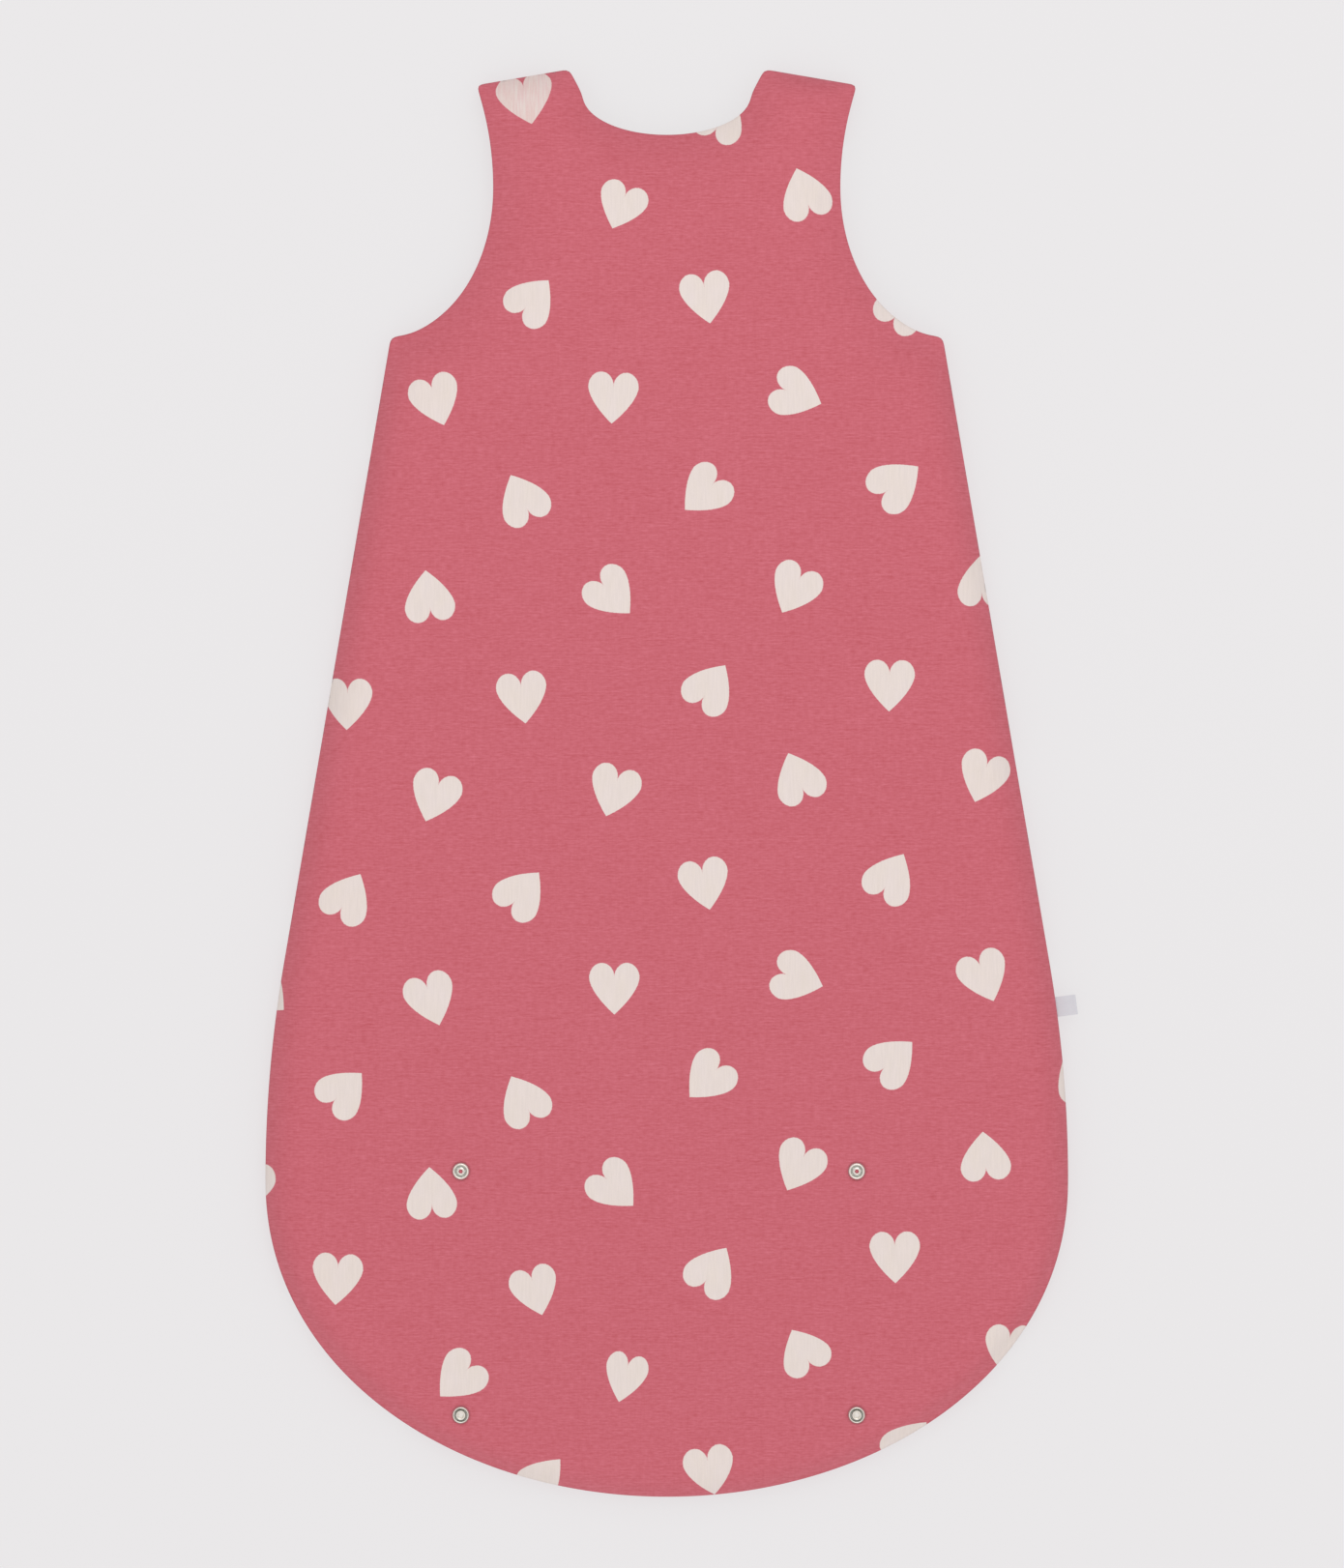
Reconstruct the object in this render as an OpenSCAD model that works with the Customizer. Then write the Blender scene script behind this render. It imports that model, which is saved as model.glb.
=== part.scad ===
// Baby sleeping bag, lying on its front with its back up.
// X runs across the bag, Y from the foot to the shoulders, Z up from the floor.
// The origin is on the floor, under the middle of the bag's length and width.

/* [Outline] */
// Length from the foot's end to the top of the shoulders
bag_length = 900; // [760:10:1050]
// Width across the foot at its widest place
foot_width = 506; // [440:2:580]
// Height of the widest place above the foot's end
widest_rise = 200; // [190:5:240]
// Height above the widest place where the straight side begins
side_blend = 136; // [80:2:160]
// Squareness of the round foot, where 2 is an ellipse
foot_squareness = 2.1; // [2:0.1:2.8]
// Width of the straight middle of the foot's end
foot_tip = 34; // [20:2:60]
// Width across the chest between the underarm corners
chest_width = 348; // [330:2:380]
// Drop from the top of the shoulders to the underarm corners
underarm_drop = 169; // [155:1:190]

/* [Neck and armholes] */
// Width of the neck at the top of the shoulders
neck_width = 123; // [116:1:136]
// Narrowest width of the neck
neck_waist = 107; // [96:1:112]
// Height of the slanting neck edge beside the shoulder seam
neck_lip = 16.5; // [12:0.5:22]
// Depth of the neckline at the back
back_neck_depth = 42; // [34:1:55]
// Depth of the neckline at the front
front_neck_depth = 90; // [75:1:110]
// Width across the outer ends of the shoulder seams
shoulder_width = 240; // [224:1:252]
// Drop of the shoulder seam from neck to armhole
shoulder_drop = 10; // [8:0.5:20]
// Narrowest width between the armholes
armhole_span = 218; // [206:1:230]
// Drop from the top of the shoulders to that narrowest place
armhole_waist_drop = 75; // [65:1:85]
// Height of the mouth that the neck and the armholes hold open
mouth_height = 7; // [5:0.5:8]

/* [Layers] */
// Thickness of the outer jersey
shell_thick = 1; // [0.6:0.1:1.4]
// Thickness of the lining jersey
lining_thick = 0.8; // [0.5:0.1:1.2]
// Thickness of the wadding in the back
back_wadding_thick = 6; // [4:0.5:9]
// Thickness of the wadding in the front
front_wadding_thick = 5; // [3.5:0.5:7]
// Height of the space inside, as the bag lies
cavity_height = 12; // [9:0.5:20]
// Height of the side seam above the floor
seam_height = 9; // [8:0.5:11]
// Width over which the back rises from the side seam
side_round = 28; // [22:1:44]
// Width over which the back rises from the neck and the armholes
armhole_round = 60; // [40:1:80]
// Width over which the front comes down to the floor
front_round = 24; // [16:1:32]
// Length over which the straps rise from the shoulder seam
shoulder_round = 30; // [20:1:40]

/* [Zip] */
// Height of the zip's lower end above the foot's end
zip_end_rise = 157; // [145:1:200]
// Width of the slot that the zip's chain and slider run in
slot_width = 9; // [8.8:0.1:11]
// Width of one tape, sewn edge included
tape_width = 6.6; // [6:0.2:7]
// Thickness of the tape
tape_thick = 0.6; // [0.4:0.1:0.8]
// Width of one row of coil teeth
coil_width = 1.5; // [1.2:0.1:1.7]
// Thickness of the coil teeth
coil_thick = 2; // [1.6:0.1:2.2]
// Gap between the two rows of coil cores
coil_gap = 1.8; // [1.8:0.1:2.4]
// Height of the folded fabric edge above the floor beside the zip
zip_lip = 3.3; // [3.3:0.1:4]
// Width over which the fabric rises to the zip
zip_round = 12; // [8:1:16]
// Distance from the tip of the pull, with the slider at its stop, to where the front parts
flap_margin = 4; // [3:0.5:12]
// Length of the stop at the zip's lower end
bottom_stop_length = 3; // [2:0.5:4]
// Length of the stops at the zip's upper end
top_stop_length = 3; // [2:0.5:4]
// Distance from the front neckline down to the top of the top stops
zip_top_margin = 7; // [5:1:12]
// Distance of the front crease from the middle at its lower end
crease_start = 16; // [11:0.5:20]
// Angle along the neckline where the front crease ends
crease_neck_angle = 65; // [55:1:72]

/* [Slider and pull] */
// Length of the slider's body
slider_length = 11; // [9:0.5:13]
// Width of the slider's body
slider_width = 8.4; // [7.6:0.1:8.4]
// Thickness of each slider plate
slider_plate = 0.9; // [0.7:0.1:1]
// Length of the wedge that parts the two rows of teeth
wedge_length = 3; // [2:0.5:4]
// Width of that wedge
wedge_width = 1.2; // [0.8:0.1:1.2]
// Radius of the pin that holds the pull
pull_pin_r = 0.4; // [0.3:0.05:0.45]
// Radial clearance of the pull on its pin
pull_clearance = 0.1; // [0.05:0.01:0.12]
// Length of the pull
pull_length = 20; // [14:1:26]
// Width of the pull
pull_width = 6; // [4:0.5:7]
// Thickness of the pull
pull_thick = 1; // [0.8:0.1:1.2]

/* [Snaps] */
// Height of the upper snaps above the foot's end
upper_snap_rise = 206.2; // [195:1:225]
// Height of the lower snaps above the foot's end
lower_snap_rise = 53.1; // [45:1:65]
// Distance between the two snaps of a pair
snap_spacing = 248.6; // [200:2:280]
// Shift of the snap pairs from the middle of the bag
snap_shift = -5; // [-10:1:10]
// Outer diameter of a snap
snap_d = 10; // [9:0.5:12]
// Thickness of a snap's flange
snap_flange = 0.8; // [0.6:0.1:1]
// Height of a stud above the fabric
stud_height = 2.4; // [2:0.1:2.6]
// Outer diameter of the stud's ring
stud_d = 3.9; // [3.4:0.1:4.4]
// Wall of the stud's ring
stud_wall = 0.75; // [0.5:0.05:0.9]
// Height of a socket above the fabric
socket_height = 2.5; // [2.2:0.1:2.7]
// Radial clearance between stud and socket
snap_clearance = 0.2; // [0.1:0.05:0.3]
// Depth that a snap is pressed into the fabric
snap_press = 0.15; // [0.1:0.05:0.3]
// Number of prongs on a backing ring
prong_count = 5; // [4:1:6]
// Height of the fold's axis above the back
fold_axis_rise = 1.7; // [1.5:0.1:2.2]

/* [Labels] */
// Height of the side label's middle above the foot's end
label_rise = 308.7; // [250:1:400]
// Width of the side label along the seam
label_width = 12.5; // [10:0.5:20]
// Length that the side label stands out of the seam
label_out = 13; // [6:0.5:16]
// Length of the side label that the seam holds
label_in = 6; // [4:0.5:8]
// Thickness of the folded side label
label_thick = 0.9; // [0.6:0.1:1.2]
// Height of the care label's middle above the foot's end
care_label_rise = 410; // [350:5:450]
// Width of the care label along the seam
care_label_width = 36; // [25:1:45]
// Length of the care label from the seam
care_label_length = 30; // [20:1:40]
// Thickness of the care label
care_label_thick = 0.4; // [0.3:0.1:0.6]

/* [Hidden] */
$fn = 48;

// Clearance between two pieces that move past each other
run_gap = 0.3;
// Clearance between a stop and what it stops
stop_gap = 0.5;

// Places along the bag
y_top = bag_length / 2;
y_foot = -bag_length / 2;
y_widest = y_foot + widest_rise;
y_blend = y_widest + side_blend;
y_underarm = y_top - underarm_drop;
y_arm_waist = y_top - armhole_waist_drop;
y_shoulder_end = y_top - shoulder_drop;
y_neck_centre = y_top - neck_lip;
y_back_neck = y_top - back_neck_depth;
y_front_neck = y_top - front_neck_depth;
y_fold = y_foot + (upper_snap_rise + lower_snap_rise) / 2;
y_zip_end = y_foot + zip_end_rise;
y_slider_tail = y_zip_end + bottom_stop_length + stop_gap;
y_slider_head = y_slider_tail + slider_length;
y_pull = mix(y_slider_tail, y_slider_head, 0.6);
y_flap = y_pull + pull_length + flap_margin;
y_zip_top = y_front_neck - zip_top_margin;

// Half widths
foot_half = foot_width / 2;
chest_half = chest_width / 2;
neck_half = neck_width / 2;
waist_half = neck_waist / 2;
shoulder_half = shoulder_width / 2;
slot_half = slot_width / 2;

// The armhole is an ellipse, centred a little outside the underarm corner
arm_x = chest_half + 3;
arm_a = arm_x - armhole_span / 2;
arm_b_low = y_arm_waist - y_underarm;
arm_b_high = (y_shoulder_end - y_arm_waist) / sqrt(1 - pow((arm_x - shoulder_half) / arm_a, 2));

// Slope of the straight side, so that it meets the curve at the widest place smoothly
side_slope = (foot_half - chest_half) / (y_underarm - y_blend + side_blend / 2);

// Heights of the layers in the middle of the bag
front_inside = shell_thick + front_wadding_thick + lining_thick;
back_inside = front_inside + cavity_height;
bag_thick = back_inside + lining_thick + back_wadding_thick + shell_thick;
z_fold = bag_thick + fold_axis_rise;

// Heights in the zip
z_tape = zip_lip + shell_thick;
z_chain = z_tape + tape_thick / 2;
lip_top = z_tape + tape_thick + lining_thick;
tape_inner = coil_gap / 2 + coil_width;
tape_outer = tape_inner + tape_width;
wadding_edge = tape_outer + run_gap;

// The crease of each front flap, from beside the zip's lower end to the neckline
crease_top = [
    waist_half * sin(crease_neck_angle),
    y_neck_centre - (front_neck_depth - neck_lip) * cos(crease_neck_angle)
];
crease_slope = (crease_top.x - crease_start) / (crease_top.y - y_flap);

// Where the columns of the surfaces lie, as a share of the way from the outer edge to the inner one
spread = [0, 0.05, 0.15, 0.32, 0.55, 0.8, 0.95, 1];
flap_spread = [0, 0.3, 0.65, 1];
flap_levels = [0, 0.2, 0.4, 0.6, 0.75, 0.88, 0.95, 1];
curve_rows = 5;
side_rows = curve_rows + 4;
arm_rows = 9;
neck_rows = 5;
lip_rows = 2;
foot_rows = 9;
// Lowest angle at which the armhole's rows start, just above the underarm corner
arm_start_angle = -82;
// Height of the lowest row of the front, below the zip's end, where the slot has closed
slot_fade = 3;
// A step in height that separates two rows of one surface
row_step = 0.1;

// ---------- curves of the outline ----------

function mix(a, b, t) = a + (b - a) * t;
function rise(t) = t <= 0 ? 0 : t >= 1 ? 1 : 1 - pow(1 - t, 3);
function reversed(list) = [for (k = [len(list) - 1:-1:0]) list[k]];

function foot_curve(y) =
    max(foot_tip / 2, foot_half * sqrt(max(0, 1 - pow((y_widest - y) / widest_rise, foot_squareness))));
function side_curve(y) =
    y < y_widest ? foot_curve(y)
    : y < y_blend ? foot_half - side_slope * pow(y - y_widest, 2) / (2 * side_blend)
    : chest_half + side_slope * (y_underarm - y);
function arm_curve(y) =
    arm_x - arm_a * sqrt(max(0, 1 - pow((y - y_arm_waist) / (y > y_arm_waist ? arm_b_high : arm_b_low), 2)));
function half_width(y) = y <= y_underarm ? side_curve(y) : arm_curve(y);
function foot_end(x) =
    y_widest - widest_rise * pow(1 - pow(min(x, foot_half) / foot_half, 2), 1 / foot_squareness);
function shoulder_line(x) =
    y_top - shoulder_drop * (x - neck_half) / (shoulder_half - neck_half);
function neck_curve(angle, depth) =
    [waist_half * sin(angle), y_neck_centre - (depth - neck_lip) * cos(angle)];
function neck_edge(x, depth) =
    y_neck_centre - (depth - neck_lip) * sqrt(max(0, 1 - pow(x / waist_half, 2)));
function crease_x(y) = crease_start + crease_slope * (y - y_flap);

// ---------- distances to the edges ----------

function outside_ellipse(p, a, b) =
    let (e = norm([p.x / a, p.y / b])) e <= 1 ? 0 : norm(p) * (1 - 1 / e);
function to_side(x, y) = y <= y_underarm ? side_curve(y) - x : bag_length;
function to_foot(x, y) = y - foot_end(x);
function to_armhole(x, y) =
    outside_ellipse([arm_x - x, y - y_arm_waist], arm_a, y > y_arm_waist ? arm_b_high : arm_b_low);
function to_neck(x, y, depth) =
    y > y_neck_centre ? x - mix(waist_half, neck_half, (y - y_neck_centre) / neck_lip)
    : outside_ellipse([x, y_neck_centre - y], waist_half, depth - neck_lip);
function to_shoulder(x, y) = shoulder_line(x) - y;
function to_zip(x, y) = norm([max(x - slot_half, 0), max(y_zip_end - y, 0)]);

// ---------- heights of the surfaces ----------

// Half of the mouth's height: none along the sides, the foot and the shoulder seams
function mouth(x, y) =
    mouth_height / 2 * rise((y - y_underarm) / 18) * rise(to_shoulder(x, y) / 25);
function back_rise(x, y) =
    rise(to_side(x, y) / side_round) * rise(to_foot(x, y) / side_round)
    * rise(to_armhole(x, y) / armhole_round) * rise(to_neck(x, y, back_neck_depth) / armhole_round)
    * rise(to_shoulder(x, y) / shoulder_round);
function front_fall(x, y) =
    rise(to_side(x, y) / front_round) * rise(to_foot(x, y) / front_round)
    * rise(to_armhole(x, y) / front_round) * rise(to_neck(x, y, front_neck_depth) / front_round)
    * rise(to_shoulder(x, y) / front_round);

function back_lining_low(x, y) =
    mix(seam_height + mouth(x, y), back_inside, back_rise(x, y));
function back_lining_high(x, y) = back_lining_low(x, y) + lining_thick;
function back_shell_high(x, y) =
    mix(seam_height + mouth(x, y) + lining_thick + shell_thick, bag_thick, back_rise(x, y));
function back_shell_low(x, y) = back_shell_high(x, y) - shell_thick;

function front_shell_low(x, y) =
    mix(seam_height - mouth(x, y) - lining_thick - shell_thick,
        zip_lip * (1 - rise(to_zip(x, y) / zip_round)), front_fall(x, y));
function front_shell_high(x, y) = front_shell_low(x, y) + shell_thick;
function front_lining_high(x, y) =
    mix(seam_height - mouth(x, y),
        mix(lip_top, front_inside, rise(to_zip(x, y) / zip_round)), front_fall(x, y));
function front_lining_low(x, y) = front_lining_high(x, y) - lining_thick;

// ---------- rows of points ----------

// A row is a pair: its point on the outer edge and its point on the inner edge.
function level_row(y, x_in = 0) = [[half_width(y), y], [x_in, y]];
function arm_row_levels(y_end) =
    let (last = asin((y_end - y_arm_waist) / arm_b_high))
    [for (k = [0:arm_rows])
        let (angle = mix(arm_start_angle, last, k / arm_rows))
        y_arm_waist + sin(angle) * (angle > 0 ? arm_b_high : arm_b_low)];
function strap_inner(k, depth, start_angle) =
    k <= neck_rows ? neck_curve(mix(start_angle, 90, k / neck_rows), depth)
    : mix([waist_half, y_neck_centre], [neck_half, y_top], (k - neck_rows) / lip_rows);
function strap_rows(y_start, depth, start_angle) =
    [for (k = [1:neck_rows + lip_rows])
        let (y = mix(y_start, y_shoulder_end, k / (neck_rows + lip_rows)))
        [[half_width(y), y], strap_inner(k, depth, start_angle)]];
function even_levels(y_low, y_high, count) =
    [for (k = [0:count]) mix(y_low, y_high, k / count)];
// Close together along the curve at the widest place and below the underarm, far apart between
function side_levels(y_low) = concat(
    even_levels(y_low, y_blend, curve_rows),
    [mix(y_blend, y_underarm, 0.4), mix(y_blend, y_underarm, 0.8), mix(y_blend, y_underarm, 0.93), y_underarm]);
function front_inner(y) =
    y < y_zip_end - row_step ? 0
    : y < y_flap - run_gap + row_step / 2 ? slot_half
    : crease_x(y) + run_gap / 2;

back_rows = concat(
    [for (y = side_levels(y_fold + run_gap / 2)) level_row(y)],
    [for (y = arm_row_levels(y_back_neck)) level_row(y)],
    strap_rows(y_back_neck, back_neck_depth, 0)
);
back_split = side_rows + arm_rows + 1;

front_levels = concat(
    [y_fold + run_gap / 2, y_zip_end - slot_fade, y_zip_end, y_flap - run_gap],
    side_levels(y_flap - run_gap + row_step),
    arm_row_levels(crease_top.y)
);
front_rows = concat(
    [for (y = front_levels) level_row(y, front_inner(y))],
    strap_rows(crease_top.y, front_neck_depth, crease_neck_angle)
);

foot_levels = let (last = asin((y_widest - y_fold + run_gap / 2) / widest_rise))
    [for (k = [0:foot_rows]) y_widest - widest_rise * sin(mix(90, last, k / foot_rows))];
foot_rows_list = [for (y = foot_levels) level_row(y)];

// The points of a whole width, from the left edge to the right, and of the right half alone
function whole(rows) =
    [for (r = rows) concat(
        [for (f = spread) let (p = mix(r[0], r[1], f)) [-p.x, p.y]],
        [for (f = reversed(spread)) mix(r[0], r[1], f)])];
function right_half(rows) =
    [for (r = rows) [for (f = reversed(spread)) mix(r[0], r[1], f)]];
function flap_points() =
    [for (v = flap_levels) concat(
        [[slot_half, mix(y_flap, neck_edge(slot_half, front_neck_depth), v)]],
        [for (f = flap_spread)
            let (y = mix(y_flap, neck_edge(mix(wadding_edge, crease_top.x, f), front_neck_depth), v))
            [mix(wadding_edge, crease_x(y) - run_gap / 2, f), y]])];

gap_cell = len(spread) - 1;
last_cell = 2 * len(spread) - 2;

// ---------- solids between two surfaces ----------

// points holds rows of [x, y]; low and high give the two surfaces' heights there;
// keep says which cells of the grid the solid fills. Up to the row named joined,
// the two middle columns of a whole width are one, and above it they are the neck's edges.
module layer(points, low, high, keep, joined = -1) {
    rows = len(points);
    cols = len(points[0]);
    count = rows * cols;
    flat = [for (r = points) each r];
    verts = concat(
        [for (p = flat) [p.x, p.y, high(abs(p.x), p.y)]],
        [for (p = flat) [p.x, p.y, low(abs(p.x), p.y)]]);
    mid = cols / 2;
    function index(i, j) = i * cols + (j == mid && i <= joined ? mid - 1 : j);
    function filled(i, j) = i >= 0 && j >= 0 && i < rows - 1 && j < cols - 1 && keep(i, j);
    function beside(i, j, step) =
        i < joined && j + step == mid - 1 ? filled(i, j + 2 * step) : filled(i, j + step);
    function wall(p, q) = [[p + count, p, q], [p + count, q, q + count]];
    faces = [for (i = [0:rows - 2]) for (j = [0:cols - 2]) if (filled(i, j))
        let (a = index(i, j), b = index(i, j + 1), c = index(i + 1, j + 1), d = index(i + 1, j))
        each concat(
            [[a, d, c], [a, c, b]],
            [[a + count, b + count, c + count], [a + count, c + count, d + count]],
            filled(i - 1, j) ? [] : wall(a, b),
            beside(i, j, 1) ? [] : wall(b, c),
            filled(i + 1, j) ? [] : wall(c, d),
            beside(i, j, -1) ? [] : wall(d, a))];
    polyhedron(verts, faces, convexity = 6);
}

fills_all = function (i, j) true;
skips_gap = function (i, j) j != gap_cell;
inside_back = function (i, j)
    j > 0 && j < last_cell && i < len(back_rows) - 2
    && abs(j - gap_cell) > (i >= back_split - 1 ? 1 : 0);
inside_foot = function (i, j) j > 0 && j < last_cell && j != gap_cell && i > 0;
inside_front = function (i, j)
    j < len(spread) - 2 && i < len(front_rows) - 2
    && (j > 0 || (i == 0 || (i > 3 && i < len(front_levels) - 1)));
inside_flap = function (i, j) j > 0 && i < len(flap_levels) - 2;

low_shell = function (x, y) back_shell_low(x, y);
high_shell = function (x, y) back_shell_high(x, y);
low_lining = function (x, y) back_lining_low(x, y);
high_lining = function (x, y) back_lining_high(x, y);
front_low_shell = function (x, y) front_shell_low(x, y);
front_high_shell = function (x, y) front_shell_high(x, y);
front_low_lining = function (x, y) front_lining_low(x, y);
front_high_lining = function (x, y) front_lining_high(x, y);

// ---------- back of the bag ----------

module back_shell()
    color("#c86672") difference() {
        layer(whole(back_rows), low_shell, high_shell, skips_gap, back_split);
        at_snaps(y_upper_snap) flange_seat();
    }
module back_wadding()
    color("#f4f1ea") difference() {
        layer(whole(back_rows), high_lining, low_shell, inside_back, back_split);
        at_snaps(y_upper_snap) ring_seat();
    }
module back_lining()
    color("#ece4da") layer(whole(back_rows), low_lining, high_lining, skips_gap, back_split);

// ---------- front of the bag, outside the creases ----------

module front_shell_half() layer(right_half(front_rows), front_low_shell, front_high_shell, fills_all);
module front_wadding_half() layer(right_half(front_rows), front_high_shell, front_low_lining, inside_front);
module front_lining_half() layer(right_half(front_rows), front_low_lining, front_high_lining, fills_all);

module front_left_shell() color("#c86672") mirror([1, 0, 0]) front_shell_half();
module front_left_wadding() color("#f4f1ea") mirror([1, 0, 0]) front_wadding_half();
module front_left_lining() color("#ece4da") mirror([1, 0, 0]) front_lining_half();
module front_right_shell() color("#c86672") front_shell_half();
module front_right_wadding() color("#f4f1ea") front_wadding_half();
module front_right_lining() color("#ece4da") front_lining_half();

// ---------- front flaps, between the creases and the zip ----------

module flap_shell() layer(flap_points(), front_low_shell, front_high_shell, fills_all);
module flap_wadding() layer(flap_points(), front_high_shell, front_low_lining, inside_flap);
module flap_lining() layer(flap_points(), front_low_lining, front_high_lining, fills_all);

module left_flap_shell() color("#c86672") mirror([1, 0, 0]) flap_shell();
module left_flap_wadding() color("#f4f1ea") mirror([1, 0, 0]) flap_wadding();
module left_flap_lining() color("#ece4da") mirror([1, 0, 0]) flap_lining();
module right_flap_shell() color("#c86672") flap_shell();
module right_flap_wadding() color("#f4f1ea") flap_wadding();
module right_flap_lining() color("#ece4da") flap_lining();

// ---------- foot, below the fold ----------

module foot_back_shell()
    color("#c86672") difference() {
        layer(whole(foot_rows_list), low_shell, high_shell, skips_gap, foot_rows);
        at_snaps(y_lower_snap) flange_seat();
    }
module foot_back_wadding()
    color("#f4f1ea") difference() {
        layer(whole(foot_rows_list), high_lining, low_shell, inside_foot, foot_rows);
        at_snaps(y_lower_snap) ring_seat();
    }
module foot_back_lining()
    color("#ece4da") layer(whole(foot_rows_list), low_lining, high_lining, skips_gap, foot_rows);
module foot_front_shell()
    color("#c86672") layer(whole(foot_rows_list), front_low_shell, front_high_shell, skips_gap, foot_rows);
module foot_front_wadding()
    color("#f4f1ea") layer(whole(foot_rows_list), front_high_shell, front_low_lining, inside_foot, foot_rows);
module foot_front_lining()
    color("#ece4da") layer(whole(foot_rows_list), front_low_lining, front_high_lining, skips_gap, foot_rows);

// ---------- zip ----------

// A block between two corners
module block(low, high) translate(low) cube(high - low);

// The tape and the coil of the right side, between two places along the bag
module tape(y_low, y_high)
    block([tape_inner, y_low, z_tape], [tape_outer, y_high, z_tape + tape_thick]);
module coil(y_low, y_high)
    block([coil_gap / 2, y_low, z_chain - coil_thick / 2],
        [tape_inner, y_high, z_chain + coil_thick / 2]);
module top_stop()
    block([coil_gap / 2, y_zip_top - top_stop_length, z_chain - coil_thick / 2 - 0.2],
        [tape_inner, y_zip_top, z_chain + coil_thick / 2 + 0.2]);

module right_zip_tape() color("#c25f6c") tape(y_flap, y_zip_top);
module left_zip_tape() color("#c25f6c") mirror([1, 0, 0]) tape(y_flap, y_zip_top);
module right_zip_coil() color("#b9566a") coil(y_flap, y_zip_top - top_stop_length);
module left_zip_coil() color("#b9566a") mirror([1, 0, 0]) coil(y_flap, y_zip_top - top_stop_length);
module right_top_stop() color("#c9c9c6") top_stop();
module left_top_stop() color("#c9c9c6") mirror([1, 0, 0]) top_stop();

module both_sides() {
    children();
    mirror([1, 0, 0]) children();
}
module zip_chain_end()
    color("#b9566a") both_sides() coil(y_zip_end + bottom_stop_length, y_flap - run_gap);
module zip_end_tapes()
    color("#c25f6c") both_sides() tape(y_zip_end + bottom_stop_length, y_flap - run_gap);
module zip_bottom_stop()
    color("#c9c9c6") block(
        [-tape_inner - 0.8, y_zip_end, z_chain - coil_thick / 2 - 0.2],
        [tape_inner + 0.8, y_zip_end + bottom_stop_length, z_chain + coil_thick / 2 + 0.2]);

// Slider, resting on the bottom stop
slider_travel = y_zip_top - top_stop_length - stop_gap - y_slider_head;
channel_low = z_chain - coil_thick / 2 - run_gap - 0.05;
channel_high = z_chain + coil_thick / 2 + run_gap + 0.05;
flange_inner = tape_inner + run_gap + 0.6;
slider_half = slider_width / 2;
z_pull = channel_low - slider_plate - 1.1;
knuckle_r = pull_pin_r + pull_clearance + 0.4;
knuckle_half = 1.2;
ear_thick = 0.6;
ear_inner = knuckle_half + run_gap;
ear_outer = ear_inner + ear_thick;

module slider_plates() {
    block([-slider_half, y_slider_tail, channel_low - slider_plate],
        [slider_half, y_slider_head, channel_low]);
    block([-slider_half, y_slider_tail, channel_high],
        [slider_half, y_slider_head, channel_high + slider_plate]);
}
module slider_flanges()
    both_sides() {
        block([flange_inner, y_slider_tail, channel_low],
            [slider_half, y_slider_head, z_tape - run_gap]);
        block([flange_inner, y_slider_tail, z_tape + tape_thick + run_gap],
            [slider_half, y_slider_head, channel_high]);
    }
module slider_wedge()
    block([-wedge_width / 2, y_slider_head - wedge_length, channel_low],
        [wedge_width / 2, y_slider_head, channel_high]);
module pull_ears()
    both_sides()
        block([ear_inner, y_pull - 1, z_pull - pull_pin_r - 0.15],
            [ear_outer, y_pull + 1, channel_low - slider_plate]);
module pull_pin()
    translate([0, y_pull, z_pull]) rotate([0, 90, 0])
        cylinder(r = pull_pin_r, h = 2 * ear_outer, center = true);
module zip_slider()
    color("#c9c9c6") union() {
        slider_plates();
        slider_flanges();
        slider_wedge();
        pull_ears();
        pull_pin();
    }
module zip_pull()
    color("#c9c9c6") difference() {
        union() {
            translate([0, y_pull, z_pull]) rotate([0, 90, 0])
                cylinder(r = knuckle_r, h = 2 * knuckle_half, center = true);
            block([-knuckle_half, y_pull, z_pull - pull_thick / 2],
                [knuckle_half, y_pull + 3.5, z_pull + pull_thick / 2]);
            translate([0, y_pull + 3, z_pull - pull_thick / 2])
                linear_extrude(pull_thick) pull_outline();
        }
        translate([0, y_pull, z_pull]) rotate([0, 90, 0])
            cylinder(r = pull_pin_r + pull_clearance, h = 4 * knuckle_half, center = true);
    }
module pull_outline()
    union() {
        translate([-pull_width / 2, 0])
            square([pull_width, pull_length - 3 - pull_width / 2]);
        translate([0, pull_length - 3 - pull_width / 2])
            circle(r = pull_width / 2);
    }

// ---------- snaps ----------

y_upper_snap = y_foot + upper_snap_rise;
y_lower_snap = y_foot + lower_snap_rise;
snap_r = snap_d / 2;
stud_r = stud_d / 2;
well_r = stud_r + snap_clearance;
well_floor = 0.7;
rim_wall = 0.6;
prong_circle_r = snap_r - 1.2;
prong_r = 0.35;
ring_thick = 0.5;
ring_inner_r = prong_circle_r - 0.9;
ring_outer_r = prong_circle_r + 0.9;
// Bottom of the ring, below the underside of the flange
z_ring = snap_press - shell_thick - ring_thick;
// Height of the cuts that seat the snaps, past the fabric on a slope
seat_reach = 3 * shell_thick;

// Puts its children on the back, one at each snap of the pair at that height
module at_snaps(y)
    for (side = [-1, 1])
        translate([snap_shift + side * snap_spacing / 2, y,
            back_shell_high(abs(snap_shift + side * snap_spacing / 2), y) - snap_press])
            children();

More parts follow.
